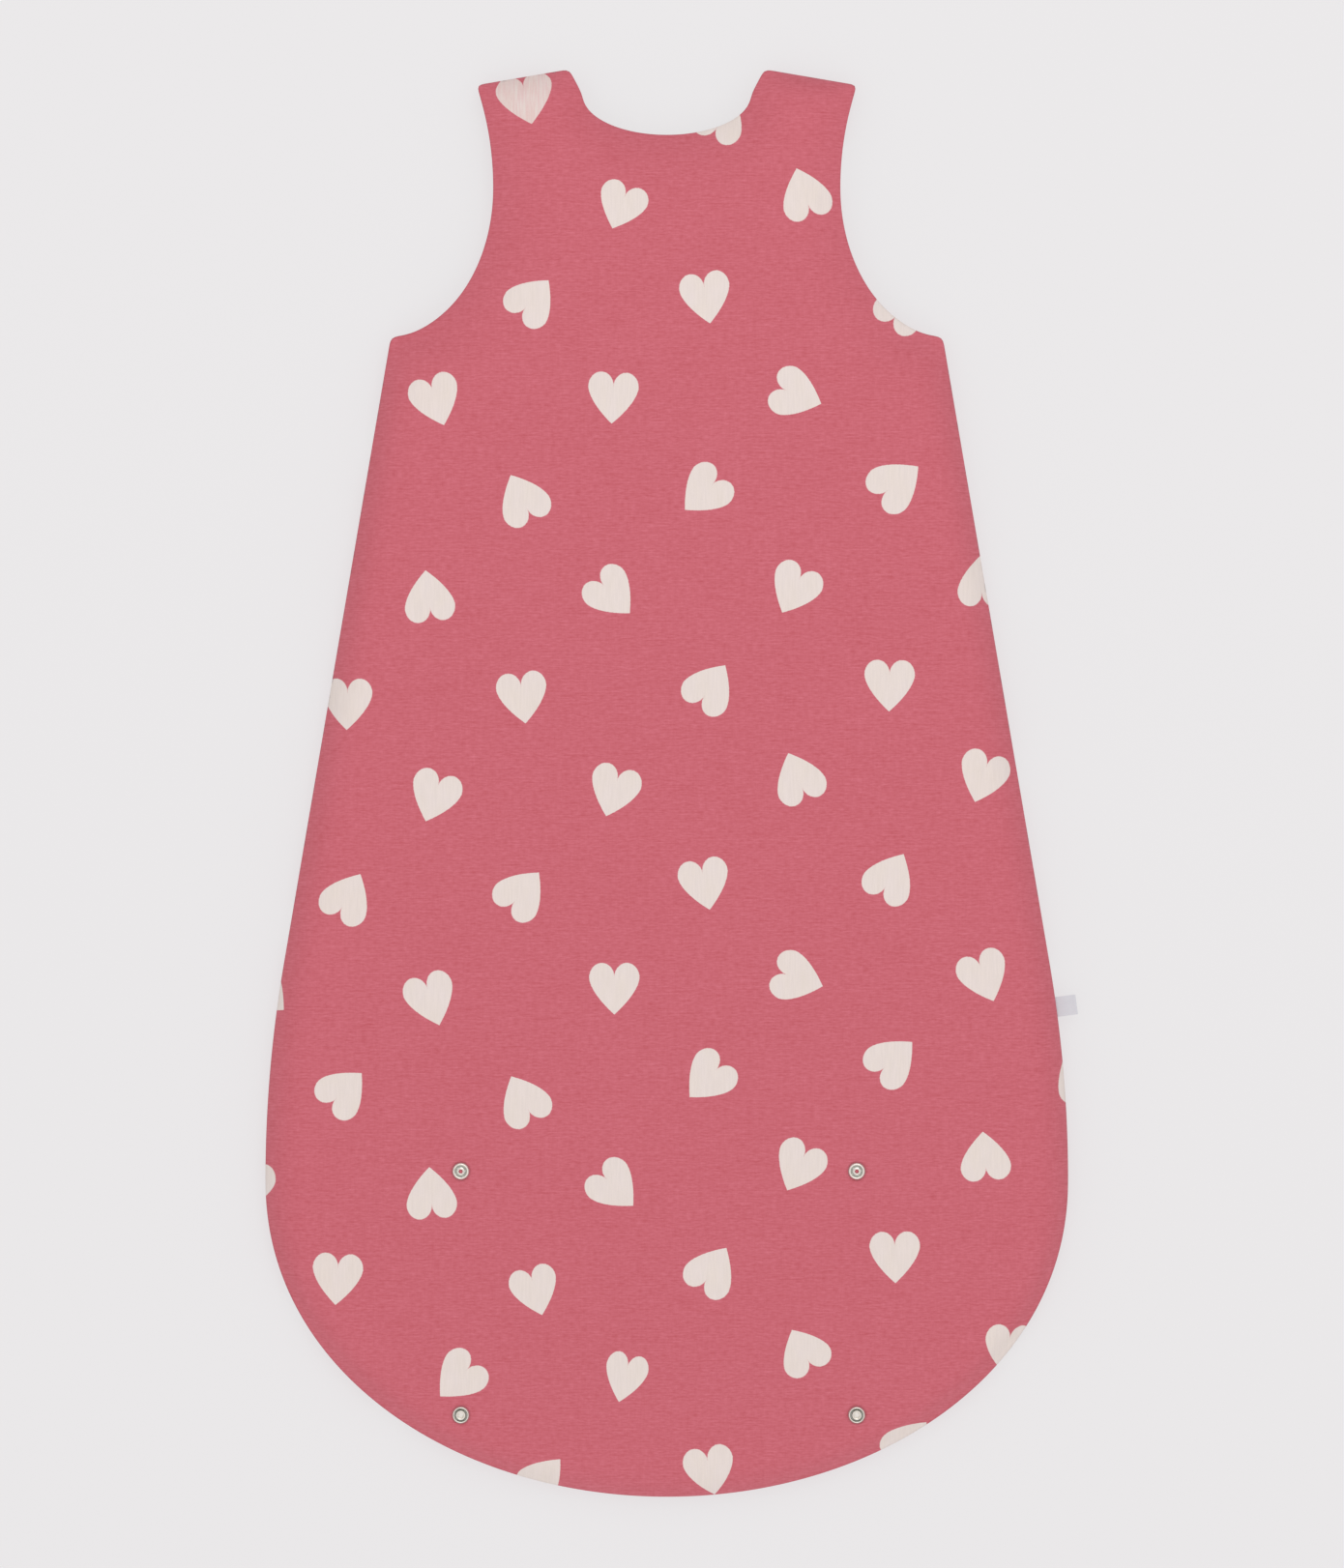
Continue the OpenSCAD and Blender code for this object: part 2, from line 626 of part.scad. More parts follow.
// A flange with a rolled rim, open in the middle, and the stud's ring on it
module stud()
    rotate_extrude() polygon([
        [stud_r - stud_wall, 0], [snap_r - 0.2, 0], [snap_r, 0.25],
        [snap_r, snap_flange + 0.15], [snap_r - rim_wall, snap_flange + 0.3],
        [snap_r - rim_wall - 0.25, snap_flange - 0.15],
        [stud_r, snap_flange - 0.15], [stud_r - 0.08, stud_height - 0.9],
        [stud_r, stud_height - 0.4], [stud_r - 0.25, stud_height],
        [stud_r - stud_wall, stud_height]]);
// A flange with a rolled rim, and a well whose floor is closed
module socket()
    rotate_extrude() polygon([
        [0, 0], [snap_r - 0.2, 0], [snap_r, 0.25], [snap_r, snap_flange + 0.15],
        [snap_r - rim_wall, snap_flange + 0.3], [snap_r - rim_wall - 0.25, snap_flange - 0.1],
        [well_r + 1.2, snap_flange - 0.1], [well_r + 0.9, socket_height],
        [well_r + 0.1, socket_height], [well_r, socket_height - 0.3],
        [well_r, well_floor], [0, well_floor]]);
// The prongs, from the ring behind the fabric up to the flange
module prongs()
    translate([0, 0, z_ring])
        for (k = [0:prong_count - 1])
            rotate(k * 360 / prong_count) translate([prong_circle_r, 0, 0])
                cylinder(r = prong_r, h = -z_ring);
module prong_ring() {
    translate([0, 0, z_ring]) difference() {
        cylinder(r = ring_outer_r, h = ring_thick);
        translate([0, 0, -1]) cylinder(r = ring_inner_r, h = ring_thick + 2);
    }
    prongs();
}
// What is cut from the shell where it is pressed flat between a snap and its ring, with the prongs' holes
module flange_seat() {
    cylinder(r = snap_r, h = seat_reach);
    translate([0, 0, z_ring + ring_thick - seat_reach]) cylinder(r = ring_outer_r, h = seat_reach);
    prongs();
}
// What is cut from the wadding for the ring and for the shell pressed down with it
module ring_seat()
    translate([0, 0, z_ring]) cylinder(r = ring_outer_r, h = seat_reach);

module length_studs() color("#d0cec8") at_snaps(y_upper_snap) stud();
module stud_prong_rings() color("#b8b6b0") at_snaps(y_upper_snap) prong_ring();
module length_sockets() color("#d0cec8") at_snaps(y_lower_snap) socket();
module socket_prong_rings() color("#b8b6b0") at_snaps(y_lower_snap) prong_ring();

// ---------- labels ----------

y_label = y_foot + label_rise;
y_care_label = y_foot + care_label_rise;
// Angle of the right side's seam from the Y axis, where it passes that height
function seam_angle(y) = atan((half_width(y - 1) - half_width(y + 1)) / 2);
// Puts its children on the right side's seam at that height, with X square to the seam
module on_seam(y)
    translate([half_width(y), y, seam_height]) rotate(seam_angle(y)) children();

module side_label()
    color("#d9d8da") on_seam(y_label) block(
        [-label_in, -label_width / 2, -label_thick / 2],
        [label_out, label_width / 2, label_thick / 2]);
module care_label()
    color("#f2f2f0") mirror([1, 0, 0]) on_seam(y_care_label) block(
        [-care_label_length, -care_label_width / 2, -care_label_thick / 2],
        [0, care_label_width / 2, care_label_thick / 2]);

back_shell();
back_wadding();
back_lining();
front_left_shell();
front_left_wadding();
front_left_lining();
front_right_shell();
front_right_wadding();
front_right_lining();
left_flap_shell();
left_flap_wadding();
left_flap_lining();
right_flap_shell();
right_flap_wadding();
right_flap_lining();
foot_back_shell();
foot_back_wadding();
foot_back_lining();
foot_front_shell();
foot_front_wadding();
foot_front_lining();
left_zip_tape();
right_zip_tape();
left_zip_coil();
right_zip_coil();
left_top_stop();
right_top_stop();
zip_chain_end();
zip_end_tapes();
zip_bottom_stop();
zip_slider();
zip_pull();
length_studs();
stud_prong_rings();
length_sockets();
socket_prong_rings();
side_label();
care_label();
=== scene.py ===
"""Baby sleeping bag: its padded panels, zip, snaps and labels, dressed in jersey and metal.

Sizes inside the classes are in millimetres; meshes are written in metres.
"""

import logging
import math
from dataclasses import dataclass, field
from enum import Enum
from typing import Any, Callable, Sequence

import bmesh
import bpy
import numpy as np
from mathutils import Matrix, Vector
from mathutils.geometry import delaunay_2d_cdt
from mathutils.kdtree import KDTree


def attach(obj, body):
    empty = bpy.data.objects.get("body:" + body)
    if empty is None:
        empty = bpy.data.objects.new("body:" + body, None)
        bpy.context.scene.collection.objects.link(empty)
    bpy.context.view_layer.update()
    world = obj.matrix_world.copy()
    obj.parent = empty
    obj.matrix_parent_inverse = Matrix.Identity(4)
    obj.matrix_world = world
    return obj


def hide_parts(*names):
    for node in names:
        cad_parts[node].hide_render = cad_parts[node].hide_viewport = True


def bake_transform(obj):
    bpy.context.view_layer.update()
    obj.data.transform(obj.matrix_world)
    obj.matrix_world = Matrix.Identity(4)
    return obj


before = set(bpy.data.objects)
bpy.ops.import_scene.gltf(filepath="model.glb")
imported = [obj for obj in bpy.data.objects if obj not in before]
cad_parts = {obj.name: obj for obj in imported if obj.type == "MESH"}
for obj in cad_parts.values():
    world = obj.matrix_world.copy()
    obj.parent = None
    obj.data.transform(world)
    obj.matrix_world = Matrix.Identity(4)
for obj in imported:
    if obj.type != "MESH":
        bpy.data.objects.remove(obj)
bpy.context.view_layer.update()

log = logging.getLogger("sleeping_bag")
MM = 0.001
HEART = "heart"
NO_HEART = (0.0, 0.0, 99.0)
Array = np.ndarray
Colour = tuple[float, float, float]
Place = tuple[float, float, float]
Span = tuple[float, float]
Face = tuple[int, ...]
Piece = bpy.types.Object
Material = bpy.types.Material
Solid = tuple[Array, list[Face]]


# Node graphs

def operator(operation: str, swap: bool = False) -> Callable[["Signal", Any], "Signal"]:
    """Make an operator that joins a signal and a value with one node.

    Args:
        operation: name of the Math or Vector Math operation.
        swap: whether the value comes first.

    Returns:
        The operator, as a method of Signal.
    """
    def joined(self: "Signal", other: Any) -> "Signal":
        """Join the signal and a signal, a number or three numbers."""
        return self.graph.math(operation, *((other, self) if swap else (self, other)))

    return joined


class Signal:
    """One output of a node, on which ordinary operators add further nodes."""

    __add__, __radd__ = operator("ADD"), operator("ADD", swap=True)
    __sub__, __rsub__ = operator("SUBTRACT"), operator("SUBTRACT", swap=True)
    __mul__, __rmul__ = operator("MULTIPLY"), operator("MULTIPLY", swap=True)
    __truediv__, __rtruediv__ = operator("DIVIDE"), operator("DIVIDE", swap=True)
    __pow__, __rpow__ = operator("POWER"), operator("POWER", swap=True)
    __gt__, __lt__ = operator("GREATER_THAN"), operator("LESS_THAN")

    def __init__(self, graph: "Graph", socket: bpy.types.NodeSocket) -> None:
        """Wrap an output socket of one of the graph's nodes."""
        self.graph = graph
        self.socket = socket

    def __abs__(self) -> "Signal":
        """Drop the sign."""
        return self.graph.math("ABSOLUTE", self)

    @property
    def is_vector(self) -> bool:
        """Whether the signal carries three numbers."""
        return self.socket.type in {"VECTOR", "RGBA"}


@dataclass(frozen=True)
class Grain:
    """A pattern of noise: its cells in a millimetre, its shift along Z and its octaves."""

    cells: Colour
    shift: float
    detail: float = 2.0


class Graph:
    """A material or the world, and its nodes."""

    def __init__(self, name: str, world: bool = False) -> None:
        """Make an empty material or an empty world.

        Args:
            name: its name.
            world: whether it is the world.
        """
        self.owner = (bpy.data.worlds if world else bpy.data.materials).new(name)
        self.owner.use_nodes = True
        self.tree = self.owner.node_tree
        self.tree.nodes.clear()

    def node(self, kind: str, settings: dict[str, Any] | None = None,
             inputs: dict[str | int, Any] | None = None, output: str | int = 0) -> Signal:
        """Add a node, set it up and feed its inputs.

        Args:
            kind: Blender's type name of the node.
            settings: attributes set on the node before its inputs are fed.
            inputs: values or signals by input name or number.
            output: the output to hand back, by name or number.

        Returns:
            The chosen output.
        """
        node = self.tree.nodes.new(kind)
        for key, value in (settings or {}).items():
            setattr(node, key, value)
        for key, value in (inputs or {}).items():
            if isinstance(value, Signal):
                self.tree.links.new(value.socket, node.inputs[key])
            else:
                node.inputs[key].default_value = value
        return Signal(self, node.outputs[output]) if node.outputs else Signal(self, node.inputs[0])

    def math(self, operation: str, *values: Any) -> Signal:
        """Add a Math node, or a Vector Math node where a value has three numbers.

        Args:
            operation: name of the operation.
            values: signals, numbers or triples of numbers.

        Returns:
            The result.
        """
        kind = "ShaderNodeMath"
        if any(v.is_vector if isinstance(v, Signal) else isinstance(v, tuple) for v in values):
            kind = "ShaderNodeVectorMath"
            values = tuple(v if isinstance(v, (Signal, tuple)) else (v, v, v) for v in values)
        return self.node(kind, {"operation": operation}, dict(enumerate(values)))

    def mix(self, factor: Any, first: Any, second: Any) -> Signal:
        """Mix two colours.

        Args:
            factor: share of the second colour.
            first: colour as a signal or three numbers.
            second: colour as a signal or three numbers.

        Returns:
            The mixed colour.
        """
        def rgba(value: Any) -> Any:
            """Add the fourth number that a colour socket takes."""
            return value if isinstance(value, Signal) else (*value, 1.0)

        # A Mix node's colour sockets follow those for numbers and vectors.
        return self.node("ShaderNodeMix", {"data_type": "RGBA"},
                         {0: factor, 6: rgba(first), 7: rgba(second)}, 2)

    def ramp(self, value: Any, low: float, high: float, to_low: float = 0.0,
             to_high: float = 1.0) -> Signal:
        """Carry a value smoothly from one range to another, held at both ends."""
        return self.node("ShaderNodeMapRange", {"interpolation_type": "SMOOTHSTEP"},
                         {0: value, 1: low, 2: high, 3: to_low, 4: to_high})

    def noise(self, place: Signal, grain: Grain) -> Signal:
        """Add soft noise between 0 and 1, at a place in millimetres."""
        scaled = place * grain.cells + (0.0, 0.0, grain.shift)
        return self.node("ShaderNodeTexNoise", {}, {"Vector": scaled, "Scale": 1.0,
                                                     "Detail": grain.detail})

    def cloth_place(self) -> Signal:
        """Return the place on the flat cloth, in millimetres."""
        return self.node("ShaderNodeUVMap", {"uv_map": "cloth"}) * (1 / MM, 1 / MM, 0.0)

    def object_place(self) -> Signal:
        """Return the place on the object, in millimetres."""
        return self.node("ShaderNodeTexCoord", output="Object") * (1 / MM, 1 / MM, 1 / MM)

    def split(self, vector: Signal) -> tuple[Signal, Signal, Signal]:
        """Split a vector into its three numbers.

        Args:
            vector: the vector signal.

        Returns:
            Its x, y and z.
        """
        x = self.node("ShaderNodeSeparateXYZ", {}, {0: vector})
        outputs = x.socket.node.outputs
        return x, Signal(self, outputs[1]), Signal(self, outputs[2])

    def bump(self, height: Any, strength: float, distance: float) -> Signal:
        """Turn a height, of which 1 is the distance in millimetres, into a normal."""
        return self.node("ShaderNodeBump", {}, {"Strength": strength,
                                                 "Distance": distance * MM, "Height": height})

    def finish(self, inputs: dict[str, Any]) -> Material:
        """Add the surface shader and the output.

        Args:
            inputs: values and signals for the Principled BSDF.

        Returns:
            The finished material.
        """
        shader = self.node("ShaderNodeBsdfPrincipled", {}, inputs)
        self.node("ShaderNodeOutputMaterial", {}, {"Surface": shader})
        return self.owner


# Finishes

@dataclass(frozen=True)
class JerseyFinish:
    """Slub jersey, with or without the print of hearts."""

    name: str
    ground: Colour = (0.578, 0.133, 0.168)
    warm: Colour = (0.768, 0.672, 0.605)
    cool: Colour = (0.782, 0.684, 0.668)
    printed: bool = True
    dash: float = 0.068
    fleck: float = 0.47
    rib: float = 0.035
    blotch: float = 0.05
    speckle: float = 0.12
    unevenness: Colour = (0.68, 1.55, 1.6)
    dark_dashes: Grain = Grain((0.045, 0.85, 1.0), 1.0)
    light_dashes: Grain = Grain((0.055, 0.95, 1.0), 9.0)
    dash_range: Span = (0.52, 0.68)
    flecks: Grain = Grain((0.26, 1.0, 1.0), 17.0)
    ribs: Grain = Grain((0.8, 0.09, 1.0), 5.0, 1.0)
    clouds: Grain = Grain((0.012, 0.03, 1.0), 7.0)
    speckles: Grain = Grain((1.2, 1.5, 1.0), 3.0, 1.0)
    streaks: Grain = Grain((0.9, 0.07, 1.0), 11.0)
    streak_range: Span = (0.3, 0.7)
    loops: Grain = Grain((1.6, 1.1, 1.0), 13.0, 1.0)
    heights: Place = (0.6, 0.3, 0.15)
    bump: Span = (0.35, 0.12)
    roughness: float = 0.9
    sheen: float = 0.06
    half_width: float = 15.8
    half_length: float = 23.1
    shoulder: float = 6.5
    fullness: float = 1.62
    lobe: Place = (7.85, 7.95, 9.25)
    edge: float = 0.3
    edge_wobble: float = 0.5
    wobbles: Grain = Grain((0.9, 0.9, 0.9), 4.0, 1.0)
    heart_reach: float = 20.0
    tints: Grain = Grain((0.11, 0.05, 1.0), 2.0)
    print_streak: float = 0.045
    print_speckle: float = 0.06
    thin_spot: Place = (-88.9, 432.4, 0.0)
    thin_reach: Span = (22.0, 28.0)
    thin_print: Span = (0.04, 0.24)

    def heart_mask(self, graph: Graph, place: Signal) -> Signal:
        """Draw one heart round the place that each point carries.

        Args:
            graph: the material's graph.
            place: coordinates on the cloth.

        Returns:
            1 inside a heart and 0 outside.
        """
        spot = graph.node("ShaderNodeAttribute", {"attribute_name": HEART}, output="Vector")
        across, along, apart = graph.split(spot)
        wobble = (graph.noise(place, self.wobbles) - 0.5) * self.edge_wobble
        across = abs(across)
        down = graph.math("MAXIMUM", (self.shoulder - along) / self.half_length, 0.0)
        lower = (1.0 - down ** self.fullness) * self.half_width - across
        centre, wide, tall = self.lobe
        aside = (across - centre) / wide
        above = (along - self.shoulder) / tall
        upper = (1.0 - (aside * aside + above * above) ** 0.5) * wide
        is_low = along < self.shoulder
        depth = lower * is_low + upper * (1.0 - is_low) + wobble
        return graph.ramp(depth, -self.edge, self.edge) * (apart < self.heart_reach)

    def paint(self, graph: Graph, place: Signal, ground: Signal, streak: Signal,
              speckle: Signal) -> Signal:
        """Colour the print: warm and cool off-white, and thin where it lies on the strap.

        Args:
            graph: the material's graph.
            place: coordinates on the cloth.
            ground: colour of the jersey below.
            streak: upright streaks.
            speckle: fine grain.

        Returns:
            The colour.
        """
        tint = graph.mix(graph.noise(place, self.tints), self.warm, self.cool)
        paint = tint * (1.0 + (streak - 0.5) * self.print_streak + speckle * self.print_speckle)
        apart = graph.node("ShaderNodeVectorMath", {"operation": "DISTANCE"},
                           {0: place, 1: self.thin_spot}, "Value")
        least, more = self.thin_print
        bare = graph.ramp(apart, *self.thin_reach, 1.0, 0.0) * (least + streak * more)
        return graph.mix(bare, paint, ground)

    def material(self) -> Material:
        """Build the material.

        Returns:
            The finished material.
        """
        graph = Graph(self.name)
        place = graph.cloth_place()
        dark = graph.ramp(graph.noise(place, self.dark_dashes), *self.dash_range)
        light = graph.ramp(graph.noise(place, self.light_dashes), *self.dash_range)
        fleck = graph.noise(place, self.flecks) - 0.5
        rib = graph.ramp(graph.noise(place, self.ribs), *self.streak_range) - 0.5
        cloud = graph.noise(place, self.clouds) - 0.5
        speckle = graph.noise(place, self.speckles) - 0.5
        change = ((light - dark) * self.dash + fleck * self.fleck + rib * self.rib
                  + cloud * self.blotch + speckle * self.speckle)
        streak = graph.ramp(graph.noise(place, self.streaks), *self.streak_range)
        ground = (change * self.unevenness + (1.0, 1.0, 1.0)) * self.ground
        colour = ground
        if self.printed:
            paint = self.paint(graph, place, ground, streak, speckle)
            colour = graph.mix(self.heart_mask(graph, place), ground, paint)
        loop, dash, upright = self.heights
        height = (graph.noise(place, self.loops) * loop + (light - dark) * dash + fleck
                  + streak * upright)
        return graph.finish({
            "Base Color": colour,
            "Roughness": self.roughness,
            "Specular IOR Level": 0.2,
            "Sheen Weight": self.sheen,
            "Sheen Roughness": 0.5,
            "Normal": graph.bump(height, *self.bump),
        })


@dataclass(frozen=True)
class WovenFinish:
    """Plain woven ribbon or tape."""

    name: str
    base: Colour
    pitch: float = 0.45
    depth: float = 0.08
    roughness: float = 0.75
    clouds: Grain = Grain((0.2, 0.2, 0.2), 1.0)
    cloud_depth: float = 0.08
    speckles: Grain = Grain((2.4, 2.4, 2.4), 2.0, 1.0)
    speckle_depth: float = 0.1
    bump: Span = (0.4, 0.05)

    def material(self) -> Material:
        """Build the material.

        Returns:
            The finished material.
        """
        graph = Graph(self.name)
        place = graph.object_place()
        x, y, _ = graph.split(place)
        turn = 2 * math.pi / self.pitch
        weave = graph.math("SINE", x * turn) * graph.math("SINE", y * turn)
        cloud = graph.noise(place, self.clouds) - 0.5
        speckle = graph.noise(place, self.speckles) - 0.5
        level = (1.0 + weave * self.depth + cloud * self.cloud_depth
                 + speckle * self.speckle_depth)
        return graph.finish({
            "Base Color": level * self.base,
            "Roughness": self.roughness,
            "Specular IOR Level": 0.3,
            "Normal": graph.bump(weave + speckle, *self.bump),
        })


@dataclass(frozen=True)
class MetalFinish:
    """Plated metal with faint darker blotches: wear, and painted varied reflection in the snaps'
    darker finish.
    """

    name: str
    base: Colour = (0.93, 0.89, 0.815)
    shade: Colour = (0.58, 0.57, 0.51)
    roughness: float = 0.2
    clouds: Grain = Grain((0.7, 0.7, 0.7), 1.0, 3.0)
    cloud_range: Span = (0.5, 0.85)
    most_shade: float = 0.6
    scratches: Grain = Grain((5.0, 5.0, 1.2), 6.0)
    scratch_range: Span = (0.3, 0.7)
    smoother: float = 0.06
    rougher: float = 0.1
    bump: Span = (0.12, 0.02)

    def material(self) -> Material:
        """Build the material.

        Returns:
            The finished material.
        """
        graph = Graph(self.name)
        place = graph.object_place()
        # Darker blotches: wear on the plated metal, and painted varied reflection in the snaps'
        # darker finish.
        wear_and_reflection = graph.ramp(graph.noise(place, self.clouds), *self.cloud_range, 0.0,
                          self.most_shade)
        scratch = graph.noise(place, self.scratches)
        return graph.finish({
            "Base Color": graph.mix(wear_and_reflection, self.base, self.shade),
            "Metallic": 1.0,
            "Roughness": graph.ramp(scratch, *self.scratch_range,
                                    self.roughness - self.smoother,
                                    self.roughness + self.rougher),
            "Normal": graph.bump(scratch, *self.bump),
        })


@dataclass(frozen=True)
class Finishes:
    """Every material of the bag, made once."""

    jersey: Material
    lining: Material
    tape: Material
    coil: Material
    zip_metal: Material
    snap_metal: Material
    snap_recess: Material
    thread: Material
    side_label: Material
    care_label: Material

    @classmethod
    def make(cls) -> "Finishes":
        """Build all the materials.

        Returns:
            The set of materials.
        """
        return cls(
            jersey=JerseyFinish("jersey_print").material(),
            lining=JerseyFinish("lining_jersey", ground=(0.78, 0.70, 0.63), printed=False,
                                dash=0.07, blotch=0.04).material(),
            tape=WovenFinish("zip_tape", (0.53, 0.115, 0.15)).material(),
            coil=WovenFinish("zip_coil", (0.46, 0.09, 0.125), pitch=1.5, roughness=0.4).material(),
            zip_metal=MetalFinish("zip_metal").material(),
            snap_metal=MetalFinish("snap_metal").material(),
            # Darker metal for the snaps' grooves and outer lips: painted shade and painted dark
            # reflection in the grooves, and painted shadow at the snaps' feet. Its blotches are
            # painted varied reflection.
            snap_recess=MetalFinish("snap_recess", (0.42, 0.43, 0.38), (0.16, 0.17, 0.15),
                                    0.3).material(),
            thread=WovenFinish("sewing_thread", (0.60, 0.15, 0.19), pitch=0.6).material(),
            side_label=WovenFinish("side_label", (0.665, 0.66, 0.70), depth=0.03).material(),
            care_label=WovenFinish("care_label", (0.86, 0.86, 0.84), depth=0.02,
                                   roughness=0.55).material(),
        )


# The cut of the bag

def rise(t: Array | float) -> Array:
    """Rise from 0 to 1, steep at first and level at the end."""
    return 1 - (1 - np.clip(t, 0, 1)) ** 3


def mix(a: Any, b: Any, t: Any) -> Any:
    """Mix two values, with t from 0 to 1."""
    return a + (b - a) * t


def from_spot(points: Array, x: float, y: float) -> Array:
    """Return how far flat points lie from one place."""
    return np.hypot(points[:, 0] - x, points[:, 1] - y)


def outside_ellipse(x: Array, y: Array, a: Any, b: Any) -> Array:
    """Return about how far a point lies outside an ellipse round the origin."""
    e = np.maximum(np.hypot(x / a, y / b), 1e-6)
    return np.where(e <= 1, 0, np.hypot(x, y) * (1 - 1 / e))


@dataclass(frozen=True)
class Cut:
    """The flat outline of the bag and the heights of its surfaces."""

    y_top: float = 450
    y_widest: float = -250
    widest_rise: float = 200
    side_blend: float = 136
    foot_half: float = 253
    squareness: float = 2.1
    chest_half: float = 174
    y_underarm: float = 281
    neck_half: float = 61.5
    waist_half: float = 53.5
    neck_lip: float = 16.5
    back_neck_depth: float = 42
    front_neck_depth: float = 90
    shoulder_half: float = 120
    shoulder_drop: float = 10
    arm_x: float = 177
    arm_a: float = 68
    y_arm: float = 375
    arm_b_low: float = 94
    slot_half: float = 4.5
    y_zip_end: float = -293
    y_flap: float = -258.9
    y_fold: float = -320.35
    z_fold: float = 28.3
    seam: float = 9
    shell: float = 1
    lining: float = 0.8
    back_inside: float = 18.8
    front_inside: float = 6.8
    thick: float = 26.6
    lip: float = 3.3
    lip_top: float = 5.7
    mouth_half: float = 3.5
    side_round: float = 28
    arm_round: float = 60
    front_round: float = 24
    mouth_start: float = 18
    mouth_end: float = 25
    no_seam: float = 900
    shoulder_round: float = 30
    zip_round: float = 12
    crease_low: Span = (16, -258.9)
    crease_high: Span = (48.49, 402.44)

    @property
    def arm_b_high(self) -> float:
        """Upper half height of the armhole's ellipse."""
        share = (self.arm_x - self.shoulder_half) / self.arm_a
        return (self.y_top - self.shoulder_drop - self.y_arm) / math.sqrt(1 - share ** 2)

    def side_curve(self, y: Array) -> Array:
        """Trace the foot and the sides.

        Args:
            y: heights along the bag.

        Returns:
            Half widths.
        """
        slope = (self.foot_half - self.chest_half) / (
            self.y_underarm - self.y_widest - self.side_blend / 2)
        low = self.foot_half * np.sqrt(np.maximum(
            0, 1 - np.maximum(0, (self.y_widest - y) / self.widest_rise) ** self.squareness))
        bend = self.foot_half - slope * (y - self.y_widest) ** 2 / (2 * self.side_blend)
        high = self.chest_half + slope * (self.y_underarm - y)
        return np.where(y < self.y_widest, low,
                        np.where(y < self.y_widest + self.side_blend, bend, high))

    def arm_curve(self, y: Array) -> Array:
        """Half width at the armholes."""
        b = np.where(y > self.y_arm, self.arm_b_high, self.arm_b_low)
        return self.arm_x - self.arm_a * np.sqrt(np.maximum(0, 1 - ((y - self.y_arm) / b) ** 2))

    def foot_end(self, x: Array) -> Array:
        """Lowest place of the bag at a distance from the middle."""
        share = np.minimum(x, self.foot_half) / self.foot_half
        return self.y_widest - self.widest_rise * (1 - share ** 2) ** (1 / self.squareness)

    def neck_edge(self, x: Array, depth: float) -> Array:
        """Height of the neckline at a distance from the middle."""
        share = np.minimum(1, np.abs(x) / self.waist_half)
        return self.y_top - self.neck_lip - (depth - self.neck_lip) * np.sqrt(1 - share ** 2)

    def to_shoulder(self, x: Array, y: Array) -> Array:
        """Distance below the shoulder seam."""
        run = self.shoulder_half - self.neck_half
        return self.y_top - self.shoulder_drop * (x - self.neck_half) / run - y

    def to_neck(self, x: Array, y: Array, depth: float) -> Array:
        """Measure the distance from the neckline.

        Args:
            x: distances from the middle.
            y: heights along the bag.
            depth: depth of the neckline.

        Returns:
            The distances.
        """
        centre = self.y_top - self.neck_lip
        above = x - mix(self.waist_half, self.neck_half, (y - centre) / self.neck_lip)
        below = outside_ellipse(x, centre - y, self.waist_half, depth - self.neck_lip)
        return np.where(y > centre, above, below)

    def to_side(self, x: Array, y: Array) -> Array:
        """Distance from the side seam, along X."""
        return np.where(y <= self.y_underarm, self.side_curve(y) - x, self.no_seam)

    def to_armhole(self, x: Array, y: Array) -> Array:
        """Distance from the armhole."""
        b = np.where(y > self.y_arm, self.arm_b_high, self.arm_b_low)
        return outside_ellipse(self.arm_x - x, y - self.y_arm, self.arm_a, b)

    def to_zip(self, x: Array, y: Array) -> Array:
        """Distance from the zip's slot."""
        return np.hypot(np.maximum(x - self.slot_half, 0), np.maximum(self.y_zip_end - y, 0))

    def mouth(self, x: Array, y: Array) -> Array:
        """Half of the opening's height at the neck and the armholes."""
        return (self.mouth_half * rise((y - self.y_underarm) / self.mouth_start)
                * rise(self.to_shoulder(x, y) / self.mouth_end))

    def fall(self, x: Array, y: Array, depth: float, edge: float, arm: float,
             shoulder: float) -> Array:
        """Share of the full thickness at a place.

        Args:
            x: distances from the middle.
            y: heights along the bag.
            depth: depth of the neckline.
            edge: width of the rounding along the sides and the foot.
            arm: width of the rounding along the neck and the armholes.
            shoulder: width of the rounding along the shoulder seams.

        Returns:
            0 at the edges and 1 in the middle.
        """
        return (rise(self.to_side(x, y) / edge) * rise((y - self.foot_end(x)) / edge)
                * rise(self.to_armhole(x, y) / arm) * rise(self.to_neck(x, y, depth) / arm)
                * rise(self.to_shoulder(x, y) / shoulder))

    def back_fall(self, x: Array, y: Array) -> Array:
        """Share of the back's full height at a place."""
        return self.fall(x, y, self.back_neck_depth, self.side_round, self.arm_round,
                         self.shoulder_round)

    def front_fall(self, x: Array, y: Array) -> Array:
        """Share of the front's full depth at a place."""
        return self.fall(x, y, self.front_neck_depth, *(self.front_round,) * 3)

    def back_outer(self, x: Array, y: Array) -> Array:
        """Height of the back's outside."""
        low = self.seam + self.mouth(x, y) + self.lining + self.shell
        return mix(low, self.thick, self.back_fall(x, y))

    def back_inner(self, x: Array, y: Array) -> Array:
        """Height of the back's lining."""
        return mix(self.seam + self.mouth(x, y), self.back_inside, self.back_fall(x, y))

    def front_outer(self, x: Array, y: Array) -> Array:
        """Find the height of the front's outside, which lies on the floor.

        Args:
            x: distances from the middle.
            y: heights along the bag.

        Returns:
            The heights.
        """
        low = self.seam - self.mouth(x, y) - self.lining - self.shell
        deep = self.lip * (1 - rise(self.to_zip(x, y) / self.zip_round))
        return mix(low, deep, self.front_fall(x, y))

